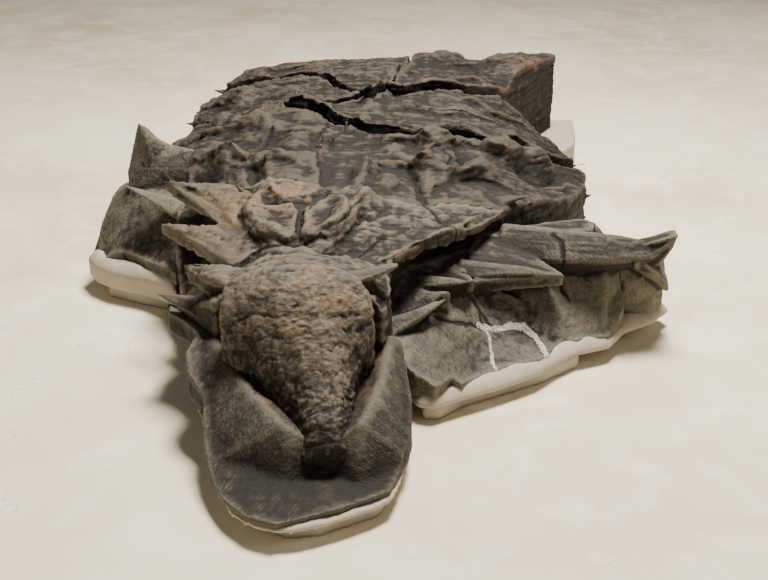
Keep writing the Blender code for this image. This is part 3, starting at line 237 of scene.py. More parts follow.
# Broad plates of each block: corners x, y, z of the upper face, the way through to the lower face, and the
# rise of the middle
NECK_BLADES = (
    (((-0.575, -0.245, 0.405), (-0.5, -0.285, 0.412), (-0.42, -0.31, 0.418), (-0.35, -0.345, 0.422),
      (-0.31, -0.42, 0.424), (-0.325, -0.51, 0.42), (-0.345, -0.575, 0.402), (-0.41, -0.46, 0.392),
      (-0.49, -0.35, 0.388), (-0.56, -0.262, 0.388)), (0.0, 0.0, -0.032), 0.004),
    (((-0.545, -0.48, 0.358), (-0.472, -0.505, 0.37), (-0.413, -0.54, 0.378), (-0.35, -0.575, 0.386),
      (-0.29, -0.63, 0.394), (-0.255, -0.715, 0.39), (-0.282, -0.755, 0.376), (-0.325, -0.772, 0.362),
      (-0.38, -0.69, 0.353), (-0.445, -0.59, 0.347), (-0.5, -0.53, 0.346)), (0.0, 0.0, -0.03), 0.004),
    (((-0.447, -0.758, 0.36), (-0.41, -0.766, 0.367), (-0.36, -0.782, 0.368), (-0.29, -0.805, 0.366),
      (-0.29, -0.86, 0.356), (-0.33, -0.868, 0.349), (-0.381, -0.829, 0.344), (-0.43, -0.785, 0.348)),
     (0.0, 0.0, -0.03), 0.004),
    (((-0.1, -0.8, 0.366), (-0.03, -0.785, 0.368), (0.03, -0.765, 0.37), (0.075, -0.725, 0.372),
      (0.128, -0.655, 0.376), (0.195, -0.595, 0.38), (0.238, -0.555, 0.38), (0.268, -0.5, 0.377),
      (0.305, -0.44, 0.372), (0.335, -0.4, 0.366), (0.285, -0.418, 0.378), (0.2, -0.455, 0.39),
      (0.1, -0.51, 0.4), (0.0, -0.59, 0.406), (-0.06, -0.69, 0.402)), (0.0, 0.0, -0.034), -0.004),
)
SHOULDER_BLADES = (
    (((0.07, -0.6, 0.24), (0.118, -0.627, 0.243), (0.166, -0.672, 0.248), (0.22, -0.688, 0.252),
      (0.172, -0.705, 0.226), (0.108, -0.745, 0.196), (0.068, -0.8, 0.155), (0.065, -0.7, 0.2)),
     (0.0, 0.02, -0.045), 0.006),
    (((0.13, -0.52, 0.27), (0.2, -0.5, 0.285), (0.228, -0.515, 0.281), (0.255, -0.56, 0.271),
      (0.285, -0.633, 0.258), (0.22, -0.622, 0.238), (0.105, -0.56, 0.238)), (0.0, 0.02, -0.04), 0.008),
    (((0.275, -0.5, 0.285), (0.3, -0.425, 0.302), (0.35, -0.4, 0.298), (0.41, -0.455, 0.285),
      (0.47, -0.517, 0.269), (0.529, -0.577, 0.25), (0.41, -0.583, 0.243), (0.285, -0.601, 0.24)),
     (0.0, 0.02, -0.04), 0.006),
    (((0.7, -0.486, 0.29), (0.743, -0.49, 0.3), (0.79, -0.492, 0.314), (0.838, -0.492, 0.33),
      (0.828, -0.488, 0.29), (0.802, -0.484, 0.236), (0.734, -0.484, 0.232), (0.69, -0.484, 0.242)),
     (0.0, 0.045, 0.0), 0.0),
)
WING_BLADES = (
    (((-0.696, 0.012, 0.5), (-0.668, 0.04, 0.45), (-0.62, 0.07, 0.412), (-0.54, 0.08, 0.392),
      (-0.53, 0.05, 0.3), (-0.64, 0.01, 0.29), (-0.735, -0.012, 0.28), (-0.738, -0.005, 0.34),
      (-0.725, 0.004, 0.4), (-0.71, 0.01, 0.455)), (0.01, 0.075, -0.035), 0.0),
)

# Rock under the long spine of the right shoulder, and at its root: x, y
SPINE_WEB = ((0.56, -0.385), (0.7, -0.405), (0.81, -0.385))
SPINE_ROOT = ((0.34, -0.38), (0.44, -0.4), (0.6, -0.34))

# Hollow in the rock below the tip of the snout, and the front edge of the hip block, where rust shows: x, y
BELOW_SNOUT = ((-0.12, -1.275), (-0.085, -1.29), (-0.05, -1.275))
RUST_LINE = ((0.12, 0.56), (0.35, 0.68), (0.5, 0.8), (0.66, 1.08))

# Pits near the tip of the snout: x, y
SNOUT_PITS = ((-0.035, -1.222), (-0.13, -1.222))

# Small upright spikes along the midline: x, y, height above the crest
SPIKES = ((-0.145, -0.195, 0.055), (-0.138, -0.14, 0.04), (-0.132, -0.085, 0.05), (-0.104, 0.015, 0.055),
          (-0.07, 0.095, 0.055))

# Outlines of the blocks: x, y
NECK_FRONT = ((-0.5, -0.7), (-0.42, -0.8), (-0.355, -0.885), (-0.31, -0.885), (-0.22, -0.868),
              (-0.14, -0.862), (-0.056, -0.872), (0.0, -0.9), (0.045, -0.93), (0.06, -0.86),
              (0.055, -0.79))
NECK_RIGHT = ((0.055, -0.79), (0.065, -0.725), (0.12, -0.655), (0.19, -0.59), (0.235, -0.55), (0.305, -0.478),
              (0.38, -0.37))
NECK_FOOT = ((0.055, -0.79), (0.05, -0.7), (0.1, -0.6), (0.2, -0.49), (0.3, -0.41), (0.38, -0.37))
NECK_BACK = ((0.38, -0.37), (0.24, -0.4), (0.14, -0.46), (0.0, -0.43), (-0.14, -0.38), (-0.28, -0.33),
             (-0.42, -0.28), (-0.54, -0.25))
NECK_LEFT = ((-0.54, -0.25), (-0.53, -0.37), (-0.5, -0.5), (-0.47, -0.62))
SNOUT_RIM = ((-0.5, -0.7), (-0.495, -0.745), (-0.445, -0.8), (-0.405, -0.85), (-0.425, -0.93),
             (-0.41, -1.0), (-0.366, -1.063), (-0.358, -1.13), (-0.348, -1.194), (-0.335, -1.245),
             (-0.318, -1.29), (-0.285, -1.347), (-0.237, -1.401), (-0.205, -1.415), (-0.174, -1.428),
             (-0.124, -1.408), (-0.085, -1.39), (-0.043, -1.372), (0.023, -1.332), (0.061, -1.306),
             (0.083, -1.24), (0.104, -1.18), (0.11, -1.127), (0.113, -1.06), (0.107, -1.004),
             (0.092, -0.885), (0.075, -0.829), (0.055, -0.79))
SKULL_OUTLINE = ((-0.333, -0.989), (-0.325, -0.927), (-0.3, -0.9), (-0.218, -0.888), (-0.136, -0.882),
                 (-0.056, -0.892), (-0.01, -0.915), (0.018, -0.945), (0.03, -0.989), (0.0, -1.03),
                 (-0.013, -1.07), (-0.02, -1.139), (-0.012, -1.19), (-0.015, -1.232), (-0.04, -1.252),
                 (-0.085, -1.258), (-0.125, -1.25), (-0.148, -1.228), (-0.154, -1.19), (-0.183, -1.139),
                 (-0.23, -1.082), (-0.264, -1.042), (-0.305, -1.021))
SLAB_OUTLINE = ((0.07, -0.79), (0.088, -0.85), (0.105, -0.875), (0.125, -0.893), (0.15, -0.9),
                (0.172, -0.915), (0.195, -0.893), (0.214, -0.861), (0.241, -0.872), (0.265, -0.838),
                (0.298, -0.803), (0.318, -0.8), (0.34, -0.782), (0.382, -0.749), (0.417, -0.738),
                (0.45, -0.722), (0.476, -0.699), (0.5, -0.65), (0.529, -0.615), (0.565, -0.612),
                (0.603, -0.593), (0.653, -0.587), (0.69, -0.535), (0.709, -0.502), (0.707, -0.446),
                (0.755, -0.44), (0.808, -0.417), (0.848, -0.365), (0.845, -0.33), (0.74, -0.28),
                (0.62, -0.25), (0.54, -0.24), (0.4, -0.355))
WING_OUTLINE = ((-0.545, -0.25), (-0.55, -0.325), (-0.576, -0.293), (-0.61, -0.262), (-0.648, -0.231),
                (-0.696, -0.186), (-0.73, -0.16), (-0.763, -0.152), (-0.795, -0.145), (-0.825, -0.128),
                (-0.848, -0.105), (-0.858, -0.075), (-0.855, -0.05), (-0.82, 0.0), (-0.78, 0.06),
                (-0.72, 0.13), (-0.64, 0.175), (-0.585, 0.16), (-0.555, 0.05), (-0.545, -0.1))
TRUNK_RIGHT_FRONT = ((0.41, -0.335), (0.53, -0.2), (0.61, -0.09), (0.66, 0.03), (0.7, 0.14),
                     (0.715, 0.25), (0.71, 0.31))
TRUNK_LEFT_FRONT = ((-0.6, 0.54), (-0.62, 0.5), (-0.65, 0.38), (-0.66, 0.28), (-0.64, 0.19), (-0.58, 0.17),
                    (-0.55, 0.05), (-0.54, -0.1))
HIP_FACE = ((0.456, 0.705), (0.53, 0.86), (0.61, 1.0), (0.67, 1.12), (0.735, 1.235), (0.745, 1.27))
TRUNK_RIGHT_BACK = ((0.66, 0.42), (0.6, 0.52), (0.54, 0.62))
TRUNK_LEFT_EDGE = ((-0.585, 0.845), (-0.612, 0.7), (-0.635, 0.585))
BACK_EDGE = ((0.15, 1.1), (-0.02, 1.1), (-0.24, 1.115), (-0.33, 1.165), (-0.48, 1.165), (-0.54, 1.05),
             (-0.56, 0.95))
HIP_EDGE = ((0.66, 1.285), (0.55, 1.2), (0.39, 1.14), (0.16, 1.115))

NECK_OUTER = ((0.07, -0.82), (0.16, -0.72), (0.24, -0.66), (0.34, -0.52), (0.4, -0.4))
BIB_HOLLOW = ((-0.6, -0.7), (-0.6, -1.26), (-0.365, -1.18), (-0.35, -1.05), (-0.345, -0.7))
CHEEK_HOLLOW = ((-0.6, -0.45), (-0.6, -0.96), (-0.43, -0.9), (-0.4, -0.8), (-0.42, -0.65),
                (-0.455, -0.45))

# Plaster edges: x, y
SNOUT_TRAY = ((-0.4, -0.875), (-0.415, -0.93), (-0.39, -1.0), (-0.345, -1.1), (-0.335, -1.2),
              (-0.315, -1.3), (-0.275, -1.375), (-0.225, -1.42), (-0.172, -1.437), (-0.12, -1.432),
              (-0.04, -1.398), (0.03, -1.356), (0.072, -1.32), (0.095, -1.245), (0.108, -1.15),
              (0.105, -1.0), (0.08, -0.875))
SLAB_TRAY = ((0.1, -0.8), (0.113, -0.885), (0.131, -0.916), (0.17, -0.926), (0.236, -0.886),
             (0.34, -0.828), (0.442, -0.76), (0.505, -0.69), (0.562, -0.64), (0.656, -0.6),
             (0.716, -0.508), (0.811, -0.44), (0.868, -0.366), (0.855, -0.325), (0.74, -0.29),
             (0.6, -0.27), (0.4, -0.37), (0.25, -0.58), (0.12, -0.73))
WING_TRAY = ((-0.55, -0.22), (-0.555, -0.33), (-0.65, -0.258), (-0.77, -0.203), (-0.83, -0.15),
             (-0.866, -0.085), (-0.852, -0.03), (-0.78, 0.05), (-0.72, 0.11), (-0.65, 0.15),
             (-0.6, 0.14), (-0.57, 0.05))
TRUNK_TRAY = ((-0.36, -0.845), (-0.04, -0.845), (0.03, -0.79), (0.02, -0.7), (0.07, -0.585),
              (0.17, -0.475), (0.28, -0.395), (0.37, -0.345), (0.56, -0.12), (0.66, 0.12), (0.69, 0.3),
              (0.62, 0.44), (0.53, 0.58), (0.43, 0.66), (0.1, 0.66), (0.1, 1.05), (-0.42, 1.05),
              (-0.56, 0.72), (-0.6, 0.45), (-0.6, 0.2), (-0.535, 0.14), (-0.515, -0.2), (-0.45, -0.6),
              (-0.42, -0.75))
SNOUT_SUPPORT = ((-0.33, -1.0), (-0.3, -1.2), (-0.235, -1.335), (-0.16, -1.39), (-0.09, -1.385),
                 (0.04, -1.31), (0.075, -1.2), (0.075, -1.0))
SLAB_SUPPORT = ((0.13, -0.78), (0.145, -0.905), (0.185, -0.905), (0.246, -0.845), (0.451, -0.725),
                (0.571, -0.625), (0.59, -0.5), (0.45, -0.38), (0.3, -0.52))
WING_SUPPORT = ((-0.59, -0.17), (-0.59, -0.262), (-0.68, -0.225), (-0.79, -0.165), (-0.815, -0.06),
                (-0.7, 0.06), (-0.6, 0.08))
TRUNK_SUPPORT = ((-0.36, -0.7), (0.0, -0.7), (0.34, -0.25), (0.55, 0.2), (0.4, 0.58), (0.03, 0.6),
                 (0.03, 0.98), (-0.36, 0.98), (-0.5, 0.6), (-0.5, 0.2), (-0.42, -0.3))
PLINTH = ((0.165, 0.78), (0.68, 0.82), (0.8, 1.02), (0.825, 1.15), (0.845, 1.37), (0.165, 1.37))

# Crests of the rock on either side of the skull: x, y
LEFT_CREST = ((-0.36, -0.9), (-0.3, -1.03), (-0.24, -1.125), (-0.19, -1.195), (-0.16, -1.235))
RIGHT_CREST = ((0.062, -0.9), (0.052, -1.0), (0.036, -1.1), (0.014, -1.18), (-0.01, -1.235))

# Heights of both crests: y, then z
CREST_HEIGHTS = ((-1.3, -1.25, -1.22, -1.15, -1.03, -0.9), (0.08, 0.135, 0.178, 0.196, 0.215, 0.235))

# Fine cracks in the rock: half width, then the points x, y
NECK_CRACKS = (
    (0.003, ((-0.165, -0.565), (-0.17, -0.6), (-0.166, -0.625), (-0.17, -0.672))),
    (0.004, ((-0.31, -0.79), (-0.283, -0.747), (-0.264, -0.734), (-0.245, -0.74))),
    (0.0016, ((-0.245, -0.74), (-0.212, -0.749), (-0.18, -0.738), (-0.134, -0.741), (-0.097, -0.735))),
    (0.0022, ((-0.145, -0.555), (-0.126, -0.505), (-0.104, -0.445), (-0.1, -0.32))),
    (0.0025, ((-0.4, -0.22), (-0.37, -0.305), (-0.34, -0.4))),
    (0.002, ((0.071, -0.143), (0.109, -0.173), (0.127, -0.275), (0.142, -0.35), (0.16, -0.44))),
    (0.0018, ((0.16, -0.44), (0.2, -0.52), (0.235, -0.56))),
    (0.0018, ((-0.03, -0.77), (0.01, -0.7), (0.05, -0.64))),
)
SLAB_CRACKS = (
    (0.0022, ((0.184, -0.706), (0.218, -0.694), (0.259, -0.675), (0.298, -0.659))),
    (0.0022, ((0.256, -0.595), (0.275, -0.602), (0.297, -0.618), (0.316, -0.63), (0.332, -0.64))),
    (0.0018, ((0.297, -0.618), (0.305, -0.64), (0.312, -0.652))),
    (0.0026, ((0.505, -0.46), (0.528, -0.484), (0.531, -0.521), (0.548, -0.532))),
    (0.0026, ((0.6, -0.405), (0.64, -0.436), (0.68, -0.446), (0.705, -0.462))),
)
TRUNK_CRACKS = (
    (0.0035, ((-0.42, 0.393), (-0.47, 0.3), (-0.56, 0.27))),
    (0.002, ((0.175, -0.21), (0.23, -0.16), (0.25, -0.06))),
    (0.0025, ((0.256, 0.203), (0.3, 0.12), (0.29, 0.04))),
    (0.0025, ((-0.12, 0.22), (-0.13, 0.12), (-0.17, 0.02))),
    (0.0025, ((-0.34, -0.15), (-0.33, -0.02), (-0.3, 0.11))),
    (0.0025, ((-0.21, 0.8), (-0.12, 0.86), (-0.02, 0.88))),
    (0.0025, ((0.2, 0.3), (0.33, 0.33), (0.47, 0.36))),
)

# Outlines of the three large plates on the neck: x, y
LEFT_PLATE = ((-0.33, -0.49), (-0.31, -0.62), (-0.262, -0.7), (-0.19, -0.738), (-0.172, -0.69),
              (-0.168, -0.58), (-0.19, -0.51), (-0.26, -0.52))
RIGHT_PLATE = ((-0.162, -0.56), (-0.16, -0.69), (-0.14, -0.735), (-0.105, -0.735), (-0.065, -0.69),
               (-0.042, -0.625), (-0.045, -0.54), (-0.06, -0.47), (-0.105, -0.48))
REAR_PLATE = ((-0.3, -0.15), (-0.29, -0.27), (-0.262, -0.43), (-0.225, -0.48), (-0.15, -0.48),
              (-0.12, -0.42), (-0.13, -0.3), (-0.16, -0.16))

# Neck plates: width of the step at their edges, how far in their middles sink, then the outline, height and
# share of the height that the middle sinks by of each
EDGE = 0.012
PLATE_REACH = 0.05
NECK_PLATES = ((LEFT_PLATE, 0.018, 0.5), (RIGHT_PLATE, 0.022, 0.6), (REAR_PLATE, 0.016, 0.0))

# Grooves between the neck plates: half width, depth, then the points x, y
NECK_GROOVES = (
    (0.02, 0.024, ((-0.372, -0.3), (-0.345, -0.5), (-0.325, -0.62), (-0.285, -0.7))),
    (0.02, 0.026, ((-0.08, -0.77), (-0.035, -0.705), (-0.012, -0.63), (-0.01, -0.54))),
    (0.018, 0.022, ((-0.335, -0.16), (-0.318, -0.28), (-0.295, -0.42), (-0.255, -0.49))),
)

# Ridge and fold on the right of the neck: x, y
NECK_RIDGE = ((-0.07, -0.463), (-0.04, -0.39), (-0.013, -0.32), (0.0, -0.286))
NECK_FOLD = ((0.07, -0.14), (0.11, -0.18), (0.127, -0.275), (0.142, -0.35), (0.16, -0.44))

# Rims behind the skull: height, rise, fall, then the points x, y
NECK_RIMS = (
    (0.01, 0.05, 0.01, ((-0.02, -0.862), (-0.105, -0.826), (-0.2, -0.802), (-0.25, -0.792), (-0.33, -0.8))),
    (0.007, 0.03, 0.008, ((-0.105, -0.85), (-0.18, -0.832), (-0.25, -0.826), (-0.33, -0.835))),
)

# White plaster run into joints of the right slab: half width, then the points x, y
SLAB_FILLS = (
    (0.006, ((0.294, -0.655), (0.313, -0.65), (0.336, -0.64), (0.383, -0.618), (0.424, -0.612))),
    (0.009, ((0.424, -0.612), (0.45, -0.624), (0.463, -0.654), (0.474, -0.7))),
    (0.0045, ((0.308, -0.65), (0.323, -0.665), (0.326, -0.704), (0.328, -0.76), (0.336, -0.8))),
)


# Shapes in plan

def ease(t: np.ndarray) -> np.ndarray:
    """Smooth step from 0 to 1."""
    t = np.clip(t, 0.0, 1.0)
    return t * t * (3.0 - 2.0 * t)


def along(y: np.ndarray, table: tuple, column: int) -> np.ndarray:
    """Read one column of a table of cross-sections at y, softened between the rows."""
    rows = np.array(table)
    reach = 0.02 * (rows[-1, 0] - rows[0, 0])
    return sum(np.interp(y + step * reach, rows[:, 0], rows[:, column]) for step in (-1.0, 0.0, 1.0)) / 3.0


def dome(x: np.ndarray, y: np.ndarray, table: tuple, power: float) -> np.ndarray:
    """Height of a crest that falls to its sides: crest - (crest - side) * share of the way ** power."""
    left_x, left_z, crest_x, crest_z, right_x, right_z = (along(y, table, k) for k in range(1, 7))
    left = np.clip((crest_x - x) / (crest_x - left_x), 0.0, 1.25)
    right = np.clip((x - crest_x) / (right_x - crest_x), 0.0, 1.25)
    return crest_z - (crest_z - left_z) * left ** power - (crest_z - right_z) * right ** power


def from_line(x: np.ndarray, y: np.ndarray, points: Line, closed: bool = False) -> np.ndarray:
    """Distance in plan from a line of points."""
    return np.abs(side_of_line(x, y, points, closed)[1])


def side_of_line(x: np.ndarray, y: np.ndarray, points: Line, closed: bool = False) -> Pair:
    """Signed and plain distance in plan from a line of points.

    Args:
        x, y: places in plan.
        points: corners of the line.
        closed: whether the last corner joins the first.

    Returns:
        The distance that is positive on the left of the nearest stretch, and the distance without sign.
    """
    corners = list(points) + ([points[0]] if closed else [])
    best = np.full_like(x, 9.0)
    signed = np.full_like(x, 9.0)
    for (ax, ay), (bx, by) in zip(corners[:-1], corners[1:]):
        dx, dy = bx - ax, by - ay
        t = np.clip(((x - ax) * dx + (y - ay) * dy) / (dx * dx + dy * dy), 0.0, 1.0)
        away = np.hypot(x - ax - t * dx, y - ay - t * dy)
        turn = np.sign(dx * (y - ay) - dy * (x - ax))
        signed = np.where(away < best, away * turn, signed)
        best = np.minimum(best, away)
    return signed, best


def flat(x: np.ndarray, y: np.ndarray) -> np.ndarray:
    """Places in plan as rows x, y, 0."""
    return np.stack([x.ravel(), y.ravel(), np.zeros(x.size)], 1)


def inside(x: np.ndarray, y: np.ndarray, outline: Line) -> np.ndarray:
    """Whether places lie inside a closed outline: an odd number of its sides lie to their right."""
    odd = np.zeros(x.shape, bool)
    for (ax, ay), (bx, by) in zip(outline, outline[1:] + outline[:1]):
        if ay == by:
            continue
        crosses = ((ay > y) != (by > y)) & (x < (bx - ax) * (y - ay) / (by - ay) + ax)
        odd ^= crosses
    return odd


def depth_in(x: np.ndarray, y: np.ndarray, outline: Line) -> np.ndarray:
    """Distance from a closed outline, positive inside it."""
    away = from_line(x, y, outline, closed=True)
    return np.where(inside(x, y, outline), away, -away)


# Noise on a lattice

def corner(ix: np.ndarray, iy: np.ndarray, iz: np.ndarray, seed: int) -> np.ndarray:
    """Repeatable number from 0 to 1 for a corner of the lattice, by mixing the bits of its place."""
    n = ix * 374761393 + iy * 668265263 + iz * 1440662683 + seed * 1274126177
    n = ((n ^ (n >> 13)) & 0x7FFFFFFF) * 1103515245
    n = ((n ^ (n >> 16)) & 0x7FFFFFFF) * 668265263
    return ((n ^ (n >> 15)) & 0xFFFFFF) / float(0xFFFFFF)


def lumps(p: np.ndarray, size: float, seed: int) -> np.ndarray:
    """Value noise from -1 to 1: the numbers at the eight corners round a place, blended smoothly."""
    q = p / size
    low = np.floor(q).astype(np.int64)
    t = q - low
    t = t * t * (3.0 - 2.0 * t)
    total = np.zeros(len(p))
    for dx in (0, 1):
        for dy in (0, 1):
            for dz in (0, 1):
                weight = np.where(dx, t[:, 0], 1 - t[:, 0]) * np.where(dy, t[:, 1], 1 - t[:, 1])
                weight = weight * np.where(dz, t[:, 2], 1 - t[:, 2])
                total += weight * corner(low[:, 0] + dx, low[:, 1] + dy, low[:, 2] + dz, seed)
    return 2.0 * total - 1.0


def crust(p: np.ndarray, size: float, octaves: int, gain: float, seed: int) -> np.ndarray:
    """Sum of value noise whose size halves and whose weight falls by the gain from one layer to the next."""
    total, weight, full = np.zeros(len(p)), 1.0, 0.0
    for k in range(octaves):
        total += weight * lumps(p + 0.37 * k, size / 2.0 ** k, seed + k)
        full += weight
        weight *= gain
    return total / full


def creased(p: np.ndarray, size: float, octaves: int, gain: float, seed: int) -> np.ndarray:
    """Like crust, but each layer is 1 - 2 * |noise|, which leaves sharp valleys between rounded backs."""
    total, weight, full = np.zeros(len(p)), 1.0, 0.0
    for k in range(octaves):
        total += weight * (2.0 * np.abs(lumps(p + 0.53 * k, size / 2.0 ** k, seed + k)) ** 0.8 - 0.7)
        full += weight
        weight *= gain
    return total / full


def flaked(h: np.ndarray, levels: float) -> np.ndarray:
    """Heights drawn together to flat levels with steep, narrow steps between, as rock flakes in sheets."""
    q = h * levels
    floor = np.floor(q)
    return (floor + ease((q - floor - 0.78) / 0.22)) / levels


def pebbles(p: np.ndarray, size: float, seed: int) -> np.ndarray:
    """Distance to the nearest of scattered points, one to a cell of the lattice, in cells."""
    q = p / size
    low = np.floor(q).astype(np.int64)
    best = np.full(len(p), 9.0)
    for dx in (-1, 0, 1):
        for dy in (-1, 0, 1):
            for dz in (-1, 0, 1):
                cell = low + np.array((dx, dy, dz))
                spot = [corner(cell[:, 0], cell[:, 1], cell[:, 2], seed + 11 * k) for k in range(3)]
                best = np.minimum(best, sum((cell[:, k] + spot[k] - q[:, k]) ** 2 for k in range(3)))
    return np.sqrt(best)


# Tops of the blocks

def ledges(x: np.ndarray, y: np.ndarray) -> np.ndarray:
    """Height added by the ledges of the neck and trunk, their edges a little ragged."""
    total = np.zeros_like(x)
    wander = 0.012 * crust(flat(x, y), 0.06, 3, 0.6, 23).reshape(x.shape)
    for height, reach, points in LEDGES:
        total = total + lip(x + wander, y + wander, points, height, reach, 0.010)
    return total


def plates(x: np.ndarray, y: np.ndarray) -> np.ndarray:
    """Height added by the keeled plates: a tent that falls off across and along the keel."""
    total = np.zeros_like(x)
    for px, py, length, width, height, heading in PLATES:
        turn = np.radians(heading)
        u = (x - px) * np.cos(turn) + (y - py) * np.sin(turn)
        v = -(x - px) * np.sin(turn) + (y - py) * np.cos(turn)
        tent = np.clip(1.0 - np.hypot(u / (0.5 * length), v / (0.5 * width)), 0.0, 1.0)
        total = total + height * tent
    return total


def lip(x: np.ndarray, y: np.ndarray, points: Line, height: float, rise: float, fall: float) -> np.ndarray:
    """Raised edge of a plate: it climbs from the left of the line to its height and drops on the right."""
    signed, plain = side_of_line(x, y, points)
    left = height * np.clip(1.0 - signed / rise, 0.0, 1.0) ** 1.5
    right = height * np.clip(1.0 + signed / fall, 0.0, 1.0)
    ends = np.hypot(x - points[0][0], y - points[0][1]), np.hypot(x - points[-1][0], y - points[-1][1])
    fade = ease(np.minimum(*ends) / 0.05)
    near = np.where(signed >= 0, left, right) * (plain < rise)
    return near * (0.3 + 0.7 * fade)


def groove(x: np.ndarray, y: np.ndarray, points: Line, half_width: float, depth: float) -> np.ndarray:
    """Depth of a rounded groove along a line."""
    return depth * np.exp(-(from_line(x, y, points) / half_width) ** 2)


def neck_detail(x: np.ndarray, y: np.ndarray) -> np.ndarray:
    """Edges of the neck plates, the grooves between them and the double rim behind the skull."""
    z = np.zeros_like(x)
    for outline, height, sink in NECK_PLATES:
        deep = depth_in(x, y, outline)
        z = z + height * ease((deep + 0.5 * EDGE) / EDGE) * (1.0 - sink * ease(deep / PLATE_REACH))
    for half_width, depth, points in NECK_GROOVES:
        z = z - groove(x, y, points, half_width, depth)
    for height, rise, fall, points in NECK_RIMS:
        z = z + lip(x, y, points, height, rise, fall)
    z = z + 0.020 * np.clip(1 - from_line(x, y, NECK_RIDGE) / 0.04, 0, 1)
    return z - groove(x, y, NECK_FOLD, 0.012, 0.014)


def trunk_detail(x: np.ndarray, y: np.ndarray) -> np.ndarray:
    """Knobbly ridge along the midline, flakes, raised lips beside the cracks and the hollow of the hip."""
    plan = flat(x, y)
    knobs = 0.5 + 0.5 * lumps(plan, KNOB, 3).reshape(x.shape)
    z = KNOB_RISE * np.clip(1.0 - from_line(x, y, MIDLINE) / KNOB_REACH, 0.0, 1.0) * knobs
    for line, far, near in CRACK_LIPS:
        signed, plain = side_of_line(x, y, line)
        z = z + np.where(signed > 0, far, near) * np.exp(-(plain / LIP_REACH) ** 2)
    z = z - 0.022 * np.exp(-((x - 0.33) ** 2 / 0.012 + (y - 0.90) ** 2 / 0.020))
    broken = flaked(crust(plan * np.array((0.55, 1.0, 1.0)), FLAKE, 4, 0.55, 17), 5.0).reshape(x.shape)
    return z + FLAKE_RISE * broken * ease((y + 0.30) / 0.3)


def body_height(x: np.ndarray, y: np.ndarray) -> np.ndarray:
    """Top of the neck and the trunk: the dome with its plates, rims and hollows."""
    z = dome(x, y, BODY, 2.2) + plates(x, y)
    for reach, height, points in RIMS:
        z = z + height * np.clip(1.0 - from_line(x, y, points) / (1.6 * reach), 0.0, 1.0)
    for hx, hy, radius, depth in HOLLOWS:
        z = z - depth * np.exp(-((x - hx) ** 2 + (y - hy) ** 2) / (0.6 * radius ** 2))
    z = z + np.where(y < -0.10, neck_detail(x, y), 0.0) + ledges(x, y)
    z = z + trunk_detail(x, y) * ease((y + 0.35) / 0.2)
    return np.maximum(z, TRUNK_BASE + 0.05)


def skull_height(x: np.ndarray, y: np.ndarray) -> np.ndarray:
    """Top of the skull roof: the dome, raised along its edges, stepped at the snout, with two pits."""
    z = dome(x, y, SKULL, 2.5)
    edge = depth_in(x, y, SKULL_OUTLINE)
    z = z + 0.007 * np.exp(-((edge - 0.016) / 0.012) ** 2) * ease((y + 1.20) / 0.10)
    z = z - 0.005 * np.exp(-((y + 1.135 + 0.3 * (x + 0.09) ** 2) / 0.012) ** 2)
    for px, py in SNOUT_PITS:
        z = z - 0.012 * np.exp(-((x - px) ** 2 + (y - py) ** 2) / 0.00018)
    return z


def snout_height(x: np.ndarray, y: np.ndarray) -> np.ndarray:
    """Top of the rock round the skull.

    A low apron rises slowly to the cheeks. A crest stands on it beside the skull, as crest - slope * away,
    and there is a hollow below the tip of the snout.
    """
    z = 0.066 + 0.115 * ease((y + 1.40) / 0.62)
    z = z + 0.050 * np.clip((-0.10 - x) / 0.30, 0.0, 1.0) * ease((y + 1.40) / 0.50)
    crest = np.interp(y, *CREST_HEIGHTS)
    bumps = 0.006 * crust(flat(x, y), 0.05, 3, 0.6, 51).reshape(x.shape)
    for line, slope in ((LEFT_CREST, 0.75), (RIGHT_CREST, 0.95)):
        shoulder = crest + bumps - slope * np.maximum(from_line(x, y, line) - 0.006, 0.0)
        z = z + 0.5 * (shoulder - z + np.sqrt((shoulder - z) ** 2 + 0.0001)) - 0.005
    z = z - groove(x, y, BELOW_SNOUT, 0.028, 0.020)
    return np.maximum(z, SNOUT_BASE + 0.014)


def slab_height(x: np.ndarray, y: np.ndarray) -> np.ndarray:
    """Top of the right shoulder slab, rising from its ragged front edge to the neck and the long spine."""
    edge = np.array(SLAB_EDGE)
    inward = y - np.interp(x, edge[:, 0], edge[:, 1])
    reach = np.interp(x, (0.45, 0.60, 0.70, 0.85), (0.40, 0.17, 0.05, 0.04))
    z = 0.075 + np.interp(x, (0.45, 0.60), (0.130, 0.145)) * ease(inward / reach)
    z = z + 0.105 * np.clip(1.0 - from_line(x, y, NECK_FOOT) / 0.22, 0.0, 1.0)
    z = z + 0.030 * np.clip(1.0 - from_line(x, y, ((0.45, -0.40), (0.78, -0.42))) / 0.12, 0.0, 1.0)
    z = np.minimum(z, LEDGE - 0.05)
    for points, half_width, _, _ in SHOULDER_SPINES[:4]:
        axis = np.array(points)
        away = from_line(x, y, tuple(map(tuple, axis[:, :2])))
        reach = np.clip((x - axis[0, 0]) / (axis[-1, 0] - axis[0, 0]), 0.0, 1.0)
        flank = np.interp(reach, np.linspace(0, 1, len(axis)), axis[:, 2]) - 0.010 - 0.13 * reach - 1.1 * away
        z = np.maximum(z, flank)
    web = 0.245 - 2.2 * np.maximum(from_line(x, y, SPINE_WEB) - 0.012, 0.0)
    z = np.maximum(z, web)
    root = 0.315 - 1.2 * np.maximum(from_line(x, y, SPINE_ROOT) - 0.035, 0.0)
    return np.maximum(z, np.minimum(root, 0.305))


def wing_height(x: np.ndarray, y: np.ndarray) -> np.ndarray:
    """Top of the left wing, a rounded lobe behind its front edge."""
    edge = np.array(WING_EDGE)
    inward = y - np.interp(x, edge[:, 0], edge[:, 1])
    return 0.145 + 0.145 * ease(inward / 0.20) - 0.05 * ease((-0.74 - x) / 0.12)


# Mesh building

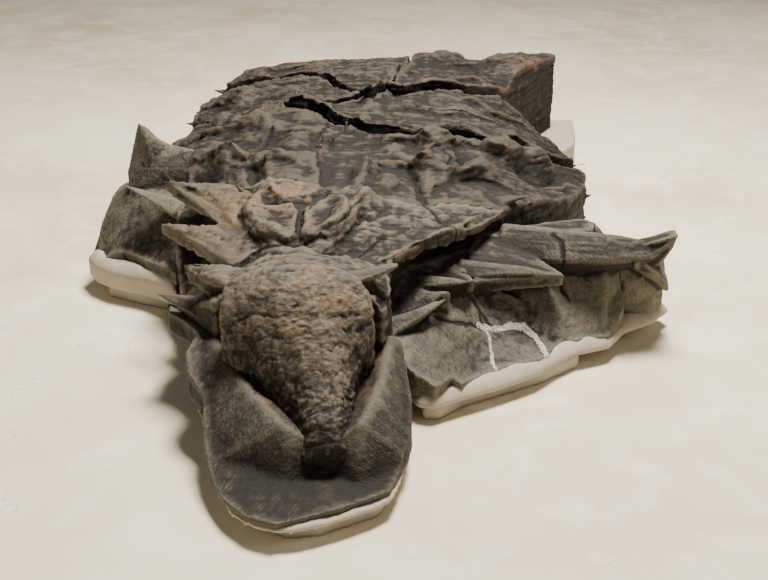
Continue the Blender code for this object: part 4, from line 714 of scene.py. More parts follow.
@dataclass(frozen=True)
class Shell:
    """Closed mesh as arrays: places of its points and the corners of its four-sided faces."""

    points: np.ndarray
    faces: np.ndarray

    def joined(self, other: "Shell") -> "Shell":
        """Both shells in one pair of arrays."""
        faces = np.vstack([self.faces, other.faces + len(self.points)])
        return Shell(np.vstack([self.points, other.points]), faces)


@dataclass(frozen=True)
class Spine:
    """Horn that tapers along a curve, with a keeled section.

    The section is |cos a| ** k + |sin a| ** k = 1 with k below 2, which pinches it to four soft keels. Its
    size falls as (1 - t) ** (1 - 0.6 * fullness) from the root to the tip.
    """

    axis: tuple[tuple[float, float, float], ...]
    half_width: float
    half_height: float
    fullness: float
    around: int = 36
    steps: int = 48
    pinch: float = 1.25

    def path(self) -> np.ndarray:
        """Softened centre line, its root sunk behind the first point."""
        axis = np.array(self.axis, float)
        back = axis[1] - axis[0]
        axis = np.vstack([axis[0] - back / np.linalg.norm(back) * 0.5 * self.half_width, axis])
        where = np.linspace(0.0, 1.0, len(axis))
        spots = np.linspace(0.0, 1.0, self.steps + 1)
        bend = 0.5 / (len(axis) - 1)
        spans = [spots + k * bend * np.minimum(spots, 1 - spots) * 2 for k in (-1.0, -0.5, 0.0, 0.5, 1.0)]
        return sum(np.stack([np.interp(s, where, axis[:, c]) for c in range(3)], 1) for s in spans) / 5.0

    def frame(self, path: np.ndarray) -> Pair:
        """Sideways and upward directions at each step, carried along the path without twisting."""
        ahead = np.gradient(path, axis=0)
        ahead /= np.linalg.norm(ahead, axis=1)[:, None]
        side = np.cross(ahead[0], (0.0, 0.0, 1.0))
        sides = []
        for direction in ahead:
            side = side - direction * side.dot(direction)
            side = side / np.linalg.norm(side)
            sides.append(side)
        sides = np.array(sides)
        return sides, np.cross(sides, ahead)

    def shell(self) -> Shell:
        """The horn as a closed grid of rings, drawn to a point at both ends."""
        path = self.path()
        sides, ups = self.frame(path)
        turn = np.linspace(0.0, 2.0 * np.pi, self.around, endpoint=False)
        k = self.pinch
        pinch = 1.0 / (np.abs(np.cos(turn)) ** k + np.abs(np.sin(turn)) ** k) ** (1.0 / k)
        taper = np.linspace(1.0, 0.0, self.steps + 1) ** (1.0 - 0.6 * self.fullness)
        wide = self.half_width * np.cos(turn) * pinch
        high = self.half_height * np.sin(turn) * pinch
        taper = taper * (0.50 + 0.50 * ease(np.linspace(0.0, 1.0, self.steps + 1) / 0.20))
        reach = sides[:, None, :] * wide[None, :, None] + ups[:, None, :] * high[None, :, None]
        rings = path[:, None, :] + reach * taper[:, None, None]
        rings = np.concatenate([np.repeat(path[:1, None, :], self.around, 1), rings], 0)
        return Shell(rings.reshape(-1, 3), ring_faces(len(rings), self.around))

    def nearest(self, p: np.ndarray) -> Pair:
        """How far places belong to the horn, and their places along and across it.

        Returns:
            A share from 0 to 1 that is 1 on the horn, and coordinates along, across and upward from its axis.
        """
        path = self.path()
        sides, ups = self.frame(path)
        taper = np.linspace(1.0, 0.0, self.steps + 1) ** (1.0 - 0.6 * self.fullness)
        length = np.linalg.norm(path[-1] - path[0])
        gaps = ((p[:, None, :] - path[None, ::3, :]) ** 2).sum(2)
        pick = 3 * gaps.argmin(1)
        away = p - path[pick]
        across = (away * sides[pick]).sum(1)
        upward = (away * ups[pick]).sum(1)
        lengthwise = pick / self.steps * length
        size = np.hypot(across / self.half_width, upward / self.half_height)
        share = ease((1.25 * taper[pick] + 0.25 - size) / 0.25) * ease(pick / self.steps / 0.25)
        return share, np.stack([lengthwise, across, upward], 1)


@dataclass(frozen=True)
class Blade:
    """Broad plate between a ring of corners and the same ring moved through it.

    From its middle to its rim the upper face is middle + t * (corner - middle), raised by rise * (1 - t * t).
    """

    corners: tuple[tuple[float, float, float], ...]
    through: tuple[float, float, float]
    rise: float
    steps: int = 6

    def shell(self) -> Shell:
        """The plate as a closed grid of rings, drawn to a point at the middle of either face."""
        rim = np.array(self.corners)
        through = np.array(self.through)
        middle = rim.mean(axis=0)
        t = np.linspace(0.0, 1.0, self.steps + 1)[:, None, None]
        upper = middle + t * (rim - middle)[None] + (1 - t * t) * np.array((0.0, 0.0, self.rise))
        lower = middle + t * (rim - middle)[None] + through * (1.0 + 0.6 * (1 - t))
        rings = np.concatenate([upper, lower[::-1]], 0)
        return Shell(rings.reshape(-1, 3), ring_faces(len(rings), len(rim)))


def ring_faces(rows: int, around: int) -> np.ndarray:
    """Four-sided faces between neighbouring rings of a closed tube."""
    start = (np.arange(rows - 1) * around)[:, None]
    here = np.arange(around)[None, :]
    after = (here + 1) % around
    corners = [start + here, start + after, start + around + after, start + around + here]
    return np.stack(corners, 2).reshape(-1, 4)


def block_shell(outline: Line, top: Height, underside: Height, cell: float) -> Shell:
    """Block between two height functions, cut to an outline.

    The plan is a square grid. Cells whose middle is inside the outline stay, and the corners on their border
    move to the outline. Every border side gets one upright face.
    """
    plan = np.array(outline)
    low, high = plan.min(axis=0) - 1.5 * cell, plan.max(axis=0) + 1.5 * cell
    nx, ny = np.ceil((high - low) / cell).astype(int) + 1
    gx, gy = np.meshgrid(np.linspace(low[0], high[0], nx), np.linspace(low[1], high[1], ny))
    keep = inside(0.25 * (gx[:-1, :-1] + gx[1:, :-1] + gx[:-1, 1:] + gx[1:, 1:]),
                  0.25 * (gy[:-1, :-1] + gy[1:, :-1] + gy[:-1, 1:] + gy[1:, 1:]), outline)
    count = np.zeros((ny, nx), int)
    for dj in (0, 1):
        for di in (0, 1):
            count[dj:ny - 1 + dj, di:nx - 1 + di] += keep
    border = (count > 0) & (count < 4)
    bx, by = to_outline(gx[border], gy[border], outline)
    gx, gy = gx.copy(), gy.copy()
    gx[border], gy[border] = bx, by
    index = np.arange(nx * ny).reshape(ny, nx)
    a, b, c, d = index[:-1, :-1], index[:-1, 1:], index[1:, 1:], index[1:, :-1]
    upper = np.stack([a, b, c, d], 2)[keep]
    total = nx * ny
    lower = upper[:, ::-1] + total
    padded = np.pad(keep, 1)
    walls = []
    for first, second, gone in ((a, b, ~padded[:-2, 1:-1]), (b, c, ~padded[1:-1, 2:]),
                                (c, d, ~padded[2:, 1:-1]), (d, a, ~padded[1:-1, :-2])):
        one, two = first[keep & gone], second[keep & gone]
        walls.append(np.stack([one + total, two + total, two, one], 1))
    x, y = gx.ravel(), gy.ravel()
    points = np.vstack([np.stack([x, y, top(x, y)], 1), np.stack([x, y, underside(x, y)], 1)])
    faces = np.vstack([upper, lower] + walls)
    used = np.unique(faces)
    renumber = np.zeros(len(points), int)
    renumber[used] = np.arange(len(used))
    return Shell(points[used], renumber[faces])


def to_outline(x: np.ndarray, y: np.ndarray, outline: Line) -> Pair:
    """Nearest places on a closed outline."""
    best = np.full(x.shape, 9.0)
    nearest_x, nearest_y = x.copy(), y.copy()
    for (ax, ay), (bx, by) in zip(outline, outline[1:] + outline[:1]):
        dx, dy = bx - ax, by - ay
        t = np.clip(((x - ax) * dx + (y - ay) * dy) / (dx * dx + dy * dy), 0.0, 1.0)
        px, py = ax + t * dx, ay + t * dy
        away = np.hypot(x - px, y - py)
        nearer = away < best
        nearest_x, nearest_y = np.where(nearer, px, nearest_x), np.where(nearer, py, nearest_y)
        best = np.minimum(best, away)
    return nearest_x, nearest_y


def moved_outline(outline: Line, reach: float) -> Line:
    """Closed outline whose corners move outward by the reach."""
    points = np.array(outline)
    before, after = np.roll(points, 1, axis=0), np.roll(points, -1, axis=0)
    area = np.sum(points[:, 0] * after[:, 1] - after[:, 0] * points[:, 1])
    first = (points - before) / np.linalg.norm(points - before, axis=1)[:, None]
    second = (after - points) / np.linalg.norm(after - points, axis=1)[:, None]
    normal = np.stack([first[:, 1] + second[:, 1], -first[:, 0] - second[:, 0]], 1) * np.sign(area)
    length = np.linalg.norm(normal, axis=1)[:, None]
    step = np.minimum(abs(reach) / np.maximum(0.5 * length, 0.35), 2.0 * abs(reach)) * np.sign(reach)
    return tuple(map(tuple, points + normal / np.maximum(length, 1e-6) * step))


def boxed(grid: np.ndarray, reach: int) -> np.ndarray:
    """Sum over the square of cells within reach of each cell, from running totals."""
    run = np.pad(np.pad(grid, reach).cumsum(0).cumsum(1), ((1, 0), (1, 0)))
    wide = 2 * reach + 1
    return run[wide:, wide:] - run[:-wide, wide:] - run[wide:, :-wide] + run[:-wide, :-wide]


def sheltered(p: np.ndarray, cell: float, reach: int) -> np.ndarray:
    """How far places lie below the highest points round them, averaged in plan over a square.

    Args:
        p: places.
        cell: side of the cells that the highest points are sorted into.
        reach: cells on each side that the average takes in.

    Returns:
        Distances in metres, negative where a place stands above what is round it.
    """
    spot = ((p[:, :2] - p[:, :2].min(axis=0)) / cell).astype(int)
    highest = np.full(spot.max(axis=0) + 1, -1.0)
    np.maximum.at(highest, (spot[:, 0], spot[:, 1]), p[:, 2])
    known = (highest > -1.0).astype(float)
    mean = boxed(highest * known, reach) / np.maximum(boxed(known, reach), 1.0)
    return mean[spot[:, 0], spot[:, 1]] - p[:, 2]


def mesh_object(name: str, shell: Shell) -> bpy.types.Object:
    """Put a shell into a new mesh object."""
    mesh = bpy.data.meshes.new(name)
    mesh.vertices.add(len(shell.points))
    mesh.vertices.foreach_set("co", shell.points.astype(np.float32).ravel())
    mesh.loops.add(shell.faces.size)
    mesh.loops.foreach_set("vertex_index", shell.faces.astype(np.int32).ravel())
    mesh.polygons.add(len(shell.faces))
    starts = np.arange(0, shell.faces.size, shell.faces.shape[1], dtype=np.int32)
    mesh.polygons.foreach_set("loop_start", starts)
    mesh.update(calc_edges=True)
    mesh.validate()
    item = bpy.data.objects.new(name, mesh)
    bpy.context.scene.collection.objects.link(item)
    return item


def fused(item: bpy.types.Object, voxel: float) -> bpy.types.Object:
    """Fuse the shells of an object into one even skin by a voxel remesh."""
    step = item.modifiers.new("fuse", "REMESH")
    step.mode = "VOXEL"
    step.voxel_size = voxel
    bpy.context.view_layer.update()
    graph = bpy.context.evaluated_depsgraph_get()
    mesh = bpy.data.meshes.new_from_object(item.evaluated_get(graph))
    item.modifiers.clear()
    item.data = mesh
    return item


def read_points(mesh: bpy.types.Mesh) -> Pair:
    """Places and outward directions of the points of a mesh."""
    places = np.empty(3 * len(mesh.vertices), np.float32)
    mesh.vertices.foreach_get("co", places)
    normals = np.empty(3 * len(mesh.vertices), np.float32)
    mesh.vertex_normals.foreach_get("vector", normals)
    return places.reshape(-1, 3).astype(float), normals.reshape(-1, 3).astype(float)


def write_points(mesh: bpy.types.Mesh, places: np.ndarray) -> None:
    """Set the places of the points of a mesh."""
    mesh.vertices.foreach_set("co", places.astype(np.float32).ravel())
    mesh.update()


def edge_pairs(mesh: bpy.types.Mesh) -> np.ndarray:
    """Pairs of points that share an edge."""
    pairs = np.empty(2 * len(mesh.edges), np.int32)
    mesh.edges.foreach_get("vertices", pairs)
    return pairs.reshape(-1, 2)


def relaxed(values: np.ndarray, pairs: np.ndarray, rounds: int) -> np.ndarray:
    """Average each point with its neighbours, several times over."""
    count = np.bincount(pairs.ravel(), minlength=len(values)).astype(float)
    for _ in range(rounds):
        total = np.empty_like(values)
        for k in range(values.shape[1]):
            one = np.bincount(pairs[:, 0], values[pairs[:, 1], k], len(values))
            total[:, k] = one + np.bincount(pairs[:, 1], values[pairs[:, 0], k], len(values))
        values = 0.5 * values + 0.5 * total / count[:, None]
    return values


def paint(mesh: bpy.types.Mesh, name: str, columns: np.ndarray) -> None:
    """Store four numbers for each point, for the materials to read."""
    layer = mesh.attributes.new(name, "FLOAT_COLOR", "POINT")
    layer.data.foreach_set("color", columns.astype(np.float32).ravel())


# Materials

class Socket:
    """Output of a node. Arithmetic on it adds Math nodes."""

    def __init__(self, graph: "Graph", link: bpy.types.NodeSocket) -> None:
        """Keep the graph and the socket."""
        self.graph = graph
        self.link = link

    def __add__(self, other: "Socket | float") -> "Socket":
        """Sum."""
        return self.graph.math("ADD", self, other)

    def __radd__(self, other: float) -> "Socket":
        """Sum."""
        return self.graph.math("ADD", other, self)

    def __sub__(self, other: "Socket | float") -> "Socket":
        """Difference."""
        return self.graph.math("SUBTRACT", self, other)

    def __rsub__(self, other: float) -> "Socket":
        """Difference."""
        return self.graph.math("SUBTRACT", other, self)

    def __mul__(self, other: "Socket | float") -> "Socket":
        """Product."""
        return self.graph.math("MULTIPLY", self, other)

    def __rmul__(self, other: float) -> "Socket":
        """Product."""
        return self.graph.math("MULTIPLY", other, self)

    def size(self) -> "Socket":
        """Value without its sign."""
        return self.graph.math("ABSOLUTE", self, 0.0)

    def step(self, low: float, high: float) -> "Socket":
        """Smooth step from 0 at low to 1 at high."""
        return self.graph.node("ShaderNodeMapRange", {"interpolation_type": "SMOOTHSTEP"},
                               {"Value": self, "From Min": low, "From Max": high})


class Graph:
    """Node tree of one material."""

    def __init__(self, name: str) -> None:
        """Make an empty material of that name."""
        self.material = bpy.data.materials.new(name)
        self.material.use_nodes = True
        self.tree = self.material.node_tree
        self.tree.nodes.clear()
        self.end = self.tree.nodes.new("ShaderNodeOutputMaterial")

    def node(self, kind: str, settings: dict, inputs: dict, output: int | str = 0) -> Socket:
        """Add a node.

        Args:
            kind: Blender's name for the node's type.
            settings: its properties, set first.
            inputs: a value or a socket for each input, by name or number.
            output: which output to hand back.

        Returns:
            The chosen output.
        """
        made = self.tree.nodes.new(kind)
        for key, value in settings.items():
            setattr(made, key, value)
        for key, value in inputs.items():
            if isinstance(value, Socket):
                self.tree.links.new(value.link, made.inputs[key])
            else:
                made.inputs[key].default_value = value
        return Socket(self, made.outputs[output])

    def math(self, operation: str, first: Socket | float, second: Socket | float) -> Socket:
        """Add a Math node."""
        return self.node("ShaderNodeMath", {"operation": operation}, {0: first, 1: second})

    def mix(self, share: Socket | float, first: Socket | tuple, second: Socket | tuple) -> Socket:
        """Blend two colours."""
        pair = [c if isinstance(c, Socket) else (*c, 1.0) for c in (first, second)]
        return self.node("ShaderNodeMix", {"data_type": "RGBA", "clamp_factor": True},
                         {0: share, 6: pair[0], 7: pair[1]}, 2)

    def place(self) -> Socket:
        """Coordinates on the object, in metres."""
        return self.node("ShaderNodeTexCoord", {}, {}, "Object")

    def mapped(self, where: Socket, turn: tuple, scale: tuple) -> Socket:
        """Coordinates turned by degrees about X, Y and Z, then scaled."""
        turned = self.node("ShaderNodeMapping", {"vector_type": "TEXTURE"},
                           {"Vector": where, "Rotation": tuple(math.radians(t) for t in turn)})
        return self.node("ShaderNodeMapping", {"vector_type": "POINT"}, {"Vector": turned, "Scale": scale})

    def noise(self, where: Socket, scale: float, detail: float = 4.0, rough: float = 0.55,
              bend: float = 0.0) -> Socket:
        """Noise from 0 to 1."""
        inputs = {"Vector": where, "Scale": scale, "Detail": detail, "Roughness": rough, "Distortion": bend}
        return self.node("ShaderNodeTexNoise", {"noise_dimensions": "3D"}, inputs)

    def shifted(self, where: Socket, amount: float) -> Socket:
        """Coordinates moved so that a second noise differs from the first."""
        step = (amount, 1.7 * amount, 0.6 * amount)
        return self.node("ShaderNodeVectorMath", {"operation": "ADD"}, {0: where, 1: step})

    def attribute(self, name: str) -> tuple[Socket, Socket, Socket]:
        """The first three numbers of a painted attribute."""
        colour = self.node("ShaderNodeAttribute", {"attribute_name": name}, {}, "Color")
        split = self.tree.nodes.new("ShaderNodeSeparateColor")
        self.tree.links.new(colour.link, split.inputs[0])
        return tuple(Socket(self, split.outputs[k]) for k in range(3))

    def finish(self, colour: Socket, rough: Socket | float, bump: Socket, strength: float, reach: float,
               specular: float = 0.3) -> bpy.types.Material:
        """Connect colour, roughness and bump to the surface.

        Args:
            colour: base colour.
            rough: roughness.
            bump: height of the fine relief, from 0 to 1.
            strength: strength of the Bump node.
            reach: height in metres that 1 stands for.
            specular: level of the gloss.

        Returns:
            The finished material.
        """
        normal = self.node("ShaderNodeBump", {}, {"Height": bump, "Strength": strength, "Distance": reach})
        surface = self.tree.nodes.new("ShaderNodeBsdfPrincipled")
        surface.inputs["Specular IOR Level"].default_value = specular
        self.tree.links.new(colour.link, surface.inputs["Base Color"])
        self.tree.links.new(normal.link, surface.inputs["Normal"])
        if isinstance(rough, Socket):
            self.tree.links.new(rough.link, surface.inputs["Roughness"])
        else:
            surface.inputs["Roughness"].default_value = rough
        self.tree.links.new(surface.outputs[0], self.end.inputs["Surface"])
        return self.material


@dataclass(frozen=True)
class StoneFinish:
    """Fossil rock: broad patches of two browns, grain, ochre stains, strokes in one direction, and painted
    shade and painted highlight from the tone attribute.

    Colours are linear red, green and blue. Sizes are patches per metre.
    """

    name: str
    deep: tuple[float, float, float] = (0.022, 0.017, 0.012)
    dark: tuple[float, float, float] = (0.070, 0.056, 0.041)
    light: tuple[float, float, float] = (0.130, 0.108, 0.080)
    pale: tuple[float, float, float] = (0.240, 0.200, 0.145)
    ochre: tuple[float, float, float] = (0.185, 0.102, 0.042)
    ochre_from: float = 0.60
    grain: float = 230.0
    stroke_turn: float = 0.0
    stroke_along: float = 30.0
    stroke_across: float = 230.0
    stroke_share: float = 0.5
    relief: float = 0.0060
    second_turn: float | None = None

    def material(self) -> bpy.types.Material:
        """Build the material."""
        g = Graph(self.name)
        where = g.place()
        seam_side, seam_near, fill_side = g.attribute("seams")
        # The first number of the tone attribute is painted shade, negative where a painted highlight goes.
        hollow, stain, fill_near = g.attribute("tone")
        broad = g.noise(where, 6.0, 5.0, 0.6, 0.4)
        patch = g.noise(g.shifted(where, 3.1), 22.0, 6.0, 0.65, 0.6)
        grain = g.noise(g.shifted(where, 7.7), self.grain, 3.0, 0.7)
        scales = (self.stroke_along, self.stroke_across, 0.5 * self.stroke_across)
        strokes = g.noise(g.mapped(where, (0, 0, self.stroke_turn), scales), 1.0, 3.0, 0.6, 0.3)
        if self.second_turn is not None:
            other = g.noise(g.mapped(where, (0, 0, self.second_turn), scales), 1.0, 3.0, 0.6, 0.3)
            split = g.node("ShaderNodeSeparateXYZ", {}, {0: where}, 0)
            share = (split + (broad - 0.5) * 0.15).step(-0.08, 0.02)
            strokes = strokes * (1 - share) + other * share
        colour = g.mix(broad.step(0.35, 0.65), self.dark, self.light)
        colour = g.mix(patch.step(0.52, 0.30) * 0.75, colour, self.deep)
        marks = (grain - 0.5) * 1.2 * (1 - self.stroke_share) + (strokes - 0.5) * 1.6 * self.stroke_share
        colour = g.mix(marks.step(0.05, 0.32) * 0.65, colour, self.pale)
        colour = g.mix((0 - marks).step(0.0, 0.24) * 0.90, colour, self.deep)
        rust = g.noise(g.shifted(where, 12.3), 14.0, 8.0, 0.7, 0.8)
        ochre = (rust + stain * 0.35).step(self.ochre_from, self.ochre_from + 0.12)
        colour = g.mix(ochre * 0.60, colour, self.ochre)
        # Painted highlight on bulges and edges, in the pale colour.
        colour = g.mix((0 - hollow).step(0.1, 1.2) * 0.30, colour, self.pale)
        # Painted shade in dents, under shelter and in open cracks, almost black.
        colour = g.mix(hollow.step(0.0, 0.9) * 0.93, colour, (0.009, 0.007, 0.005))
        crack = (1 - seam_side.size().step(0.0004, 0.0018)) * (1 - seam_near.step(0.004, 0.007))
        colour = g.mix(crack, colour, (0.008, 0.007, 0.006))
        ragged = fill_side.size() + (grain - 0.5) * 0.004
        fill = (1 - ragged.step(-0.0005, 0.0008)) * (1 - fill_near.step(0.010, 0.014))
        colour = g.mix(fill, colour, (0.620, 0.590, 0.520))
        height = grain * 0.30 + strokes * self.stroke_share * 0.9 + patch * 0.5 - crack * 0.8
        return g.finish(colour, 0.78 - grain * 0.15 + hollow * 0.05, height, 1.0, self.relief, 0.35)


@dataclass(frozen=True)
class PlasterFinish:
    """Cast plaster: off-white with faint stains, trowel marks and pin holes."""

    name: str
    white: tuple[float, float, float] = (0.430, 0.372, 0.285)
    shade: tuple[float, float, float] = (0.330, 0.275, 0.200)
    relief: float = 0.0015

    def material(self) -> bpy.types.Material:
        """Build the material."""
        g = Graph(self.name)
        where = g.place()
        stains = g.noise(where, 9.0, 6.0, 0.6, 0.5)
        trowel = g.noise(g.mapped(where, (0, 0, 25), (18.0, 60.0, 60.0)), 1.0, 4.0, 0.6)
        grain = g.noise(where, 420.0, 2.0)
        colour = g.mix(stains.step(0.45, 0.75) * 0.6, self.white, self.shade)
        holes = g.node("ShaderNodeTexVoronoi", {}, {"Vector": where, "Scale": 70.0}, 0)
        pits = 1 - holes.step(0.04, 0.09)
        colour = g.mix(pits * 0.5, colour, (0.30, 0.27, 0.22))
        height = trowel * 0.7 + grain * 0.2 - pits * 0.4
        return g.finish(colour, 0.85 - stains * 0.1, height, 0.8, self.relief, 0.2)


@dataclass(frozen=True)
class FloorFinish:
    """Pale cream floor with soft stains, scuffs and a few hair cracks."""

    name: str = "pale_floor"

    def material(self) -> bpy.types.Material:
        """Build the material."""
        g = Graph(self.name)
        where = g.place()
        broad = g.noise(where, 0.9, 5.0, 0.6, 0.3)
        patch = g.noise(g.shifted(where, 5.0), 5.0, 8.0, 0.65, 0.5)
        colour = g.mix(broad.step(0.35, 0.70), (0.880, 0.800, 0.590), (0.690, 0.590, 0.410))
        colour = g.mix(patch.step(0.48, 0.66) * 0.7, colour, (0.930, 0.880, 0.740))
        drift = g.node("ShaderNodeTexNoise", {}, {"Vector": where, "Scale": 7.0, "Detail": 6.0}, 1)
        warp = g.node("ShaderNodeVectorMath", {"operation": "ADD"}, {0: where, 1: drift})
        apart = {"feature": "DISTANCE_TO_EDGE"}
        cells = g.node("ShaderNodeTexVoronoi", apart, {"Vector": warp, "Scale": 0.9}, 0)
        lines = (1 - cells.step(0.0010, 0.0040)) * patch.step(0.50, 0.62)
        colour = g.mix(lines * 0.70, colour, (0.300, 0.240, 0.170))
        height = patch * 0.6 - lines * 0.5
        return g.finish(colour, 0.60 + patch * 0.2, height, 0.5, 0.002, 0.25)


# Pieces

class Cover(Enum):
    """What the surface of a block is worked as."""

    CRUST = "lumpy crust of the skull roof"
    CHISELLED = "rock dressed with a fine chisel"
    LAYERED = "layered rock with streaks along it"
    PLASTER = "cast plaster"


@dataclass(frozen=True)
class Relief:
    """Sizes of the rock's own relief, and how high each kind rises, in metres."""

    grain: float = 0.013
    grain_rise: float = 0.0030
    scab: float = 0.030
    scab_rise: float = 0.0050
    lump: float = 0.045
    lump_rise: float = 0.0045
    rough: float = 0.070
    rough_rise: float = 0.0055
    streak: float = 0.022
    streak_rise: float = 0.0050
    sheet: float = 0.075
    sheet_rise: float = 0.0095
    bed: float = 0.030
    bed_rise: float = 0.0070
    rib: float = 0.012
    rib_rise: float = 0.0028
    plaster: float = 0.060
    plaster_rise: float = 0.0012


RELIEF = Relief()


@dataclass(frozen=True)
class PaintedShade:
    """Depths and distances in metres that turn the shape of a skin into its painted shade and painted
    highlight, and the largest painted shade.
    """

    fine: float = 0.0022
    broad: float = 0.0040
    sunk: float = 0.030
    cell: float = 0.008
    close: float = 0.018
    far: float = 0.060
    wall: float = 0.025
    limit: float = 1.5


PAINTED_SHADE = PaintedShade()


@dataclass
class Piece:
    """One block of the object: a grid cut to its outline, fused with its spines, carved and dressed."""

    name: str
    outline: Line
    top: Height
    base: float
    cover: Cover
    finish: bpy.types.Material
    replaces: tuple[str, ...]
    slot: str
    cell: float = 0.006
    voxel: float = 0.005
    spines: tuple = ()
    blades: tuple = ()
    hollows: tuple[tuple[Line, float], ...] = ()
    cracks: tuple = ()
    fills: tuple = ()
    margin: float = 0.0
    stain: Height | None = None
    open_cracks: tuple = ()
    # The next two fields give painted shade: its weight below higher rock, and a function of place that adds
    # painted shade and painted light.
    shelter: float = 0.0
    shade: Shade | None = None

    def underside(self, x: np.ndarray, y: np.ndarray) -> np.ndarray:
        """Underside of the block: flat, raised where it overhangs, never above its top."""
        z = np.full_like(x, self.base)
        for outline, roof in self.hollows:
            share = ease((depth_in(x, y, outline) + 0.5 * EDGE) / EDGE)
            z = np.maximum(z, self.base + (roof - self.base) * share)
        return np.minimum(z, self.top(x, y) - 0.012)

    def horns(self) -> list[Spine]:
        """The spines of the block."""
        return [Spine(*sizes) for sizes in self.spines]

    def skin(self) -> bpy.types.Object:
        """Grid and spines fused into one skin."""
        shell = block_shell(moved_outline(self.outline, self.margin), self.top, self.underside, self.cell)
        for part in self.horns() + [Blade(*sizes) for sizes in self.blades]:
            shell = shell.joined(part.shell())
        return fused(mesh_object(self.name, shell), self.voxel)

    def relief(self, p: np.ndarray, n: np.ndarray) -> np.ndarray:
        """Distance that each point moves outward, from noise that suits the cover.

        Args:
            p: places of the points.
            n: their outward directions.

        Returns:
            Distances in metres.
        """
        upright = 1.0 - np.abs(n[:, 2])
        if self.cover is Cover.CRUST:
            bent = p * np.array((0.75, 1.0, 1.0)) + 0.006 * crust(p, 0.02, 2, 0.5, 5)[:, None]
            grains = RELIEF.grain_rise * (0.55 - pebbles(bent, RELIEF.grain, 31))
            scabs = RELIEF.scab_rise * flaked(crust(bent, RELIEF.scab, 3, 0.6, 33), 3.0)
            return grains + scabs + RELIEF.lump_rise * creased(bent, RELIEF.lump, 4, 0.65, 41)
        if self.cover is Cover.PLASTER:
            return RELIEF.plaster_rise * crust(p, RELIEF.plaster, 3, 0.5, 61)
        rough = RELIEF.rough_rise * creased(p, RELIEF.rough, 5, 0.62, 71)
        if self.cover is Cover.CHISELLED:
            return rough * 0.7
        long = p * np.array((0.30, 1.0, 1.5))
        streaks = RELIEF.streak_rise * creased(long, RELIEF.streak, 3, 0.65, 91)
        wide = p * np.array((0.5, 1.0, 1.0))
        sheets = RELIEF.sheet_rise * flaked(crust(wide, RELIEF.sheet, 3, 0.6, 95), 4.0)
        level = p * np.array((0.10, 0.10, 1.0)) + 0.004 * crust(p, 0.08, 2, 0.5, 97)[:, None]
        beds = RELIEF.bed_rise * creased(level, RELIEF.bed, 3, 0.7, 99)
        side = ease((upright - 0.15) / 0.5)
        return 1.3 * rough + (streaks + sheets) * (1 - side) + beds * side

    def carve(self, item: bpy.types.Object) -> None:
        """Move the skin's points, paint shade into its hollows and open cracks, mark its fine cracks, and
        shift it into the row frame.
        """
        mesh = item.data
        p, n = read_points(mesh)
        pairs = edge_pairs(mesh)
        away = self.relief(p, n)
        for horn in self.horns():
            share, q = horn.nearest(p)
            ribs = RELIEF.rib_rise * crust(q * np.array((0.10, 1.0, 1.0)), RELIEF.rib, 3, 0.6, 101)
            away = away * (1 - 0.75 * share) + ribs * share
        x, y = p[:, 0], p[:, 1]
        seams = self.marks(x, y, self.cracks)
        if self.cracks:
            widest = max(half_width for half_width, _ in self.cracks)
            away = away - 1.2 * widest * np.exp(-(seams[1] / 0.005) ** 2) * np.clip(n[:, 2] * 2, 0, 1)
        fills = self.marks(x, y, self.fills)
        p = p + n * away[:, None]
        if self.open_cracks:
            p[:, :2] += self.opened(x, y)
        # Painted shade and painted highlight of each point.
        tone = self.tone((x, y), p, n, pairs)
        stain = self.stain(x, y) if self.stain else np.zeros_like(x)
        p[:, 0] += SHIFT[0]
        p[:, 1] += SHIFT[1]
        low, high = np.array(CAD_BOX[0]), np.array(CAD_BOX[1])
        write_points(mesh, np.clip(p, low + 0.0002, high - 0.0002))
        paint(mesh, "seams", np.stack([seams[0], seams[1], fills[0], np.ones_like(x)], 1))
        # The tone attribute holds painted shade, the stain and the distance from the plaster fills.
        paint(mesh, "tone", np.stack([tone, stain, fills[1], np.ones_like(x)], 1))

    def tone(self, plan: Pair, p: np.ndarray, n: np.ndarray, pairs: np.ndarray) -> np.ndarray:
        """Painted shade of each point: negative, as a painted highlight, on bulges and edges, and high, as
        painted shade, in dents, under shelter and on the walls of open cracks.

        Args:
            plan: x and y of the points before they were moved.
            p: places of the moved points.
            n: their outward directions.
            pairs: the points that each edge joins.

        Returns:
            Painted shade between -limit and limit, negative for a painted highlight.
        """
        x, y = plan
        # Painted shade in dents and painted highlight on bulges, from how far each point lies from its
        # smoothed skin.
        smooth = relaxed(p, pairs, 14)
        flatter = relaxed(smooth, pairs, 40)
        bend = ((smooth - p) * n).sum(1) / PAINTED_SHADE.fine + ((flatter - smooth) * n).sum(1) / PAINTED_SHADE.broad
        # Painted shade in recesses below the dome of the body.
        if self.cover is Cover.LAYERED:
            sunk = (dome(x, y, BODY, 2.2) + 0.006 - p[:, 2]) / PAINTED_SHADE.sunk
            bend = bend + 0.9 * np.clip(sunk, -0.5, 1.0) * np.clip(1.5 * n[:, 2], 0.0, 1.0)
        # Painted shade below higher rock and under overhangs round each point.
        if self.shelter:
            close = np.clip(sheltered(p, PAINTED_SHADE.cell, 4) / PAINTED_SHADE.close, -0.5, 1.2)
            far = np.clip(sheltered(p, PAINTED_SHADE.cell, 14) / PAINTED_SHADE.far, -0.4, 1.0)
            bend = bend + self.shelter * (close + 0.9 * far)
        # Painted shade on the walls of the open cracks.
        wall = np.clip(1.0 - 1.2 * n[:, 2], 0.0, 1.0)
        for line, _ in self.open_cracks:
            bend = bend + 2.0 * np.exp(-(from_line(x, y, line) / PAINTED_SHADE.wall) ** 2) * wall
        # Painted shade and painted light from the piece's own shade function.
        if self.shade:
            bend = bend + self.shade(x, y, p[:, 2])
        return np.clip(bend, -PAINTED_SHADE.limit, PAINTED_SHADE.limit)

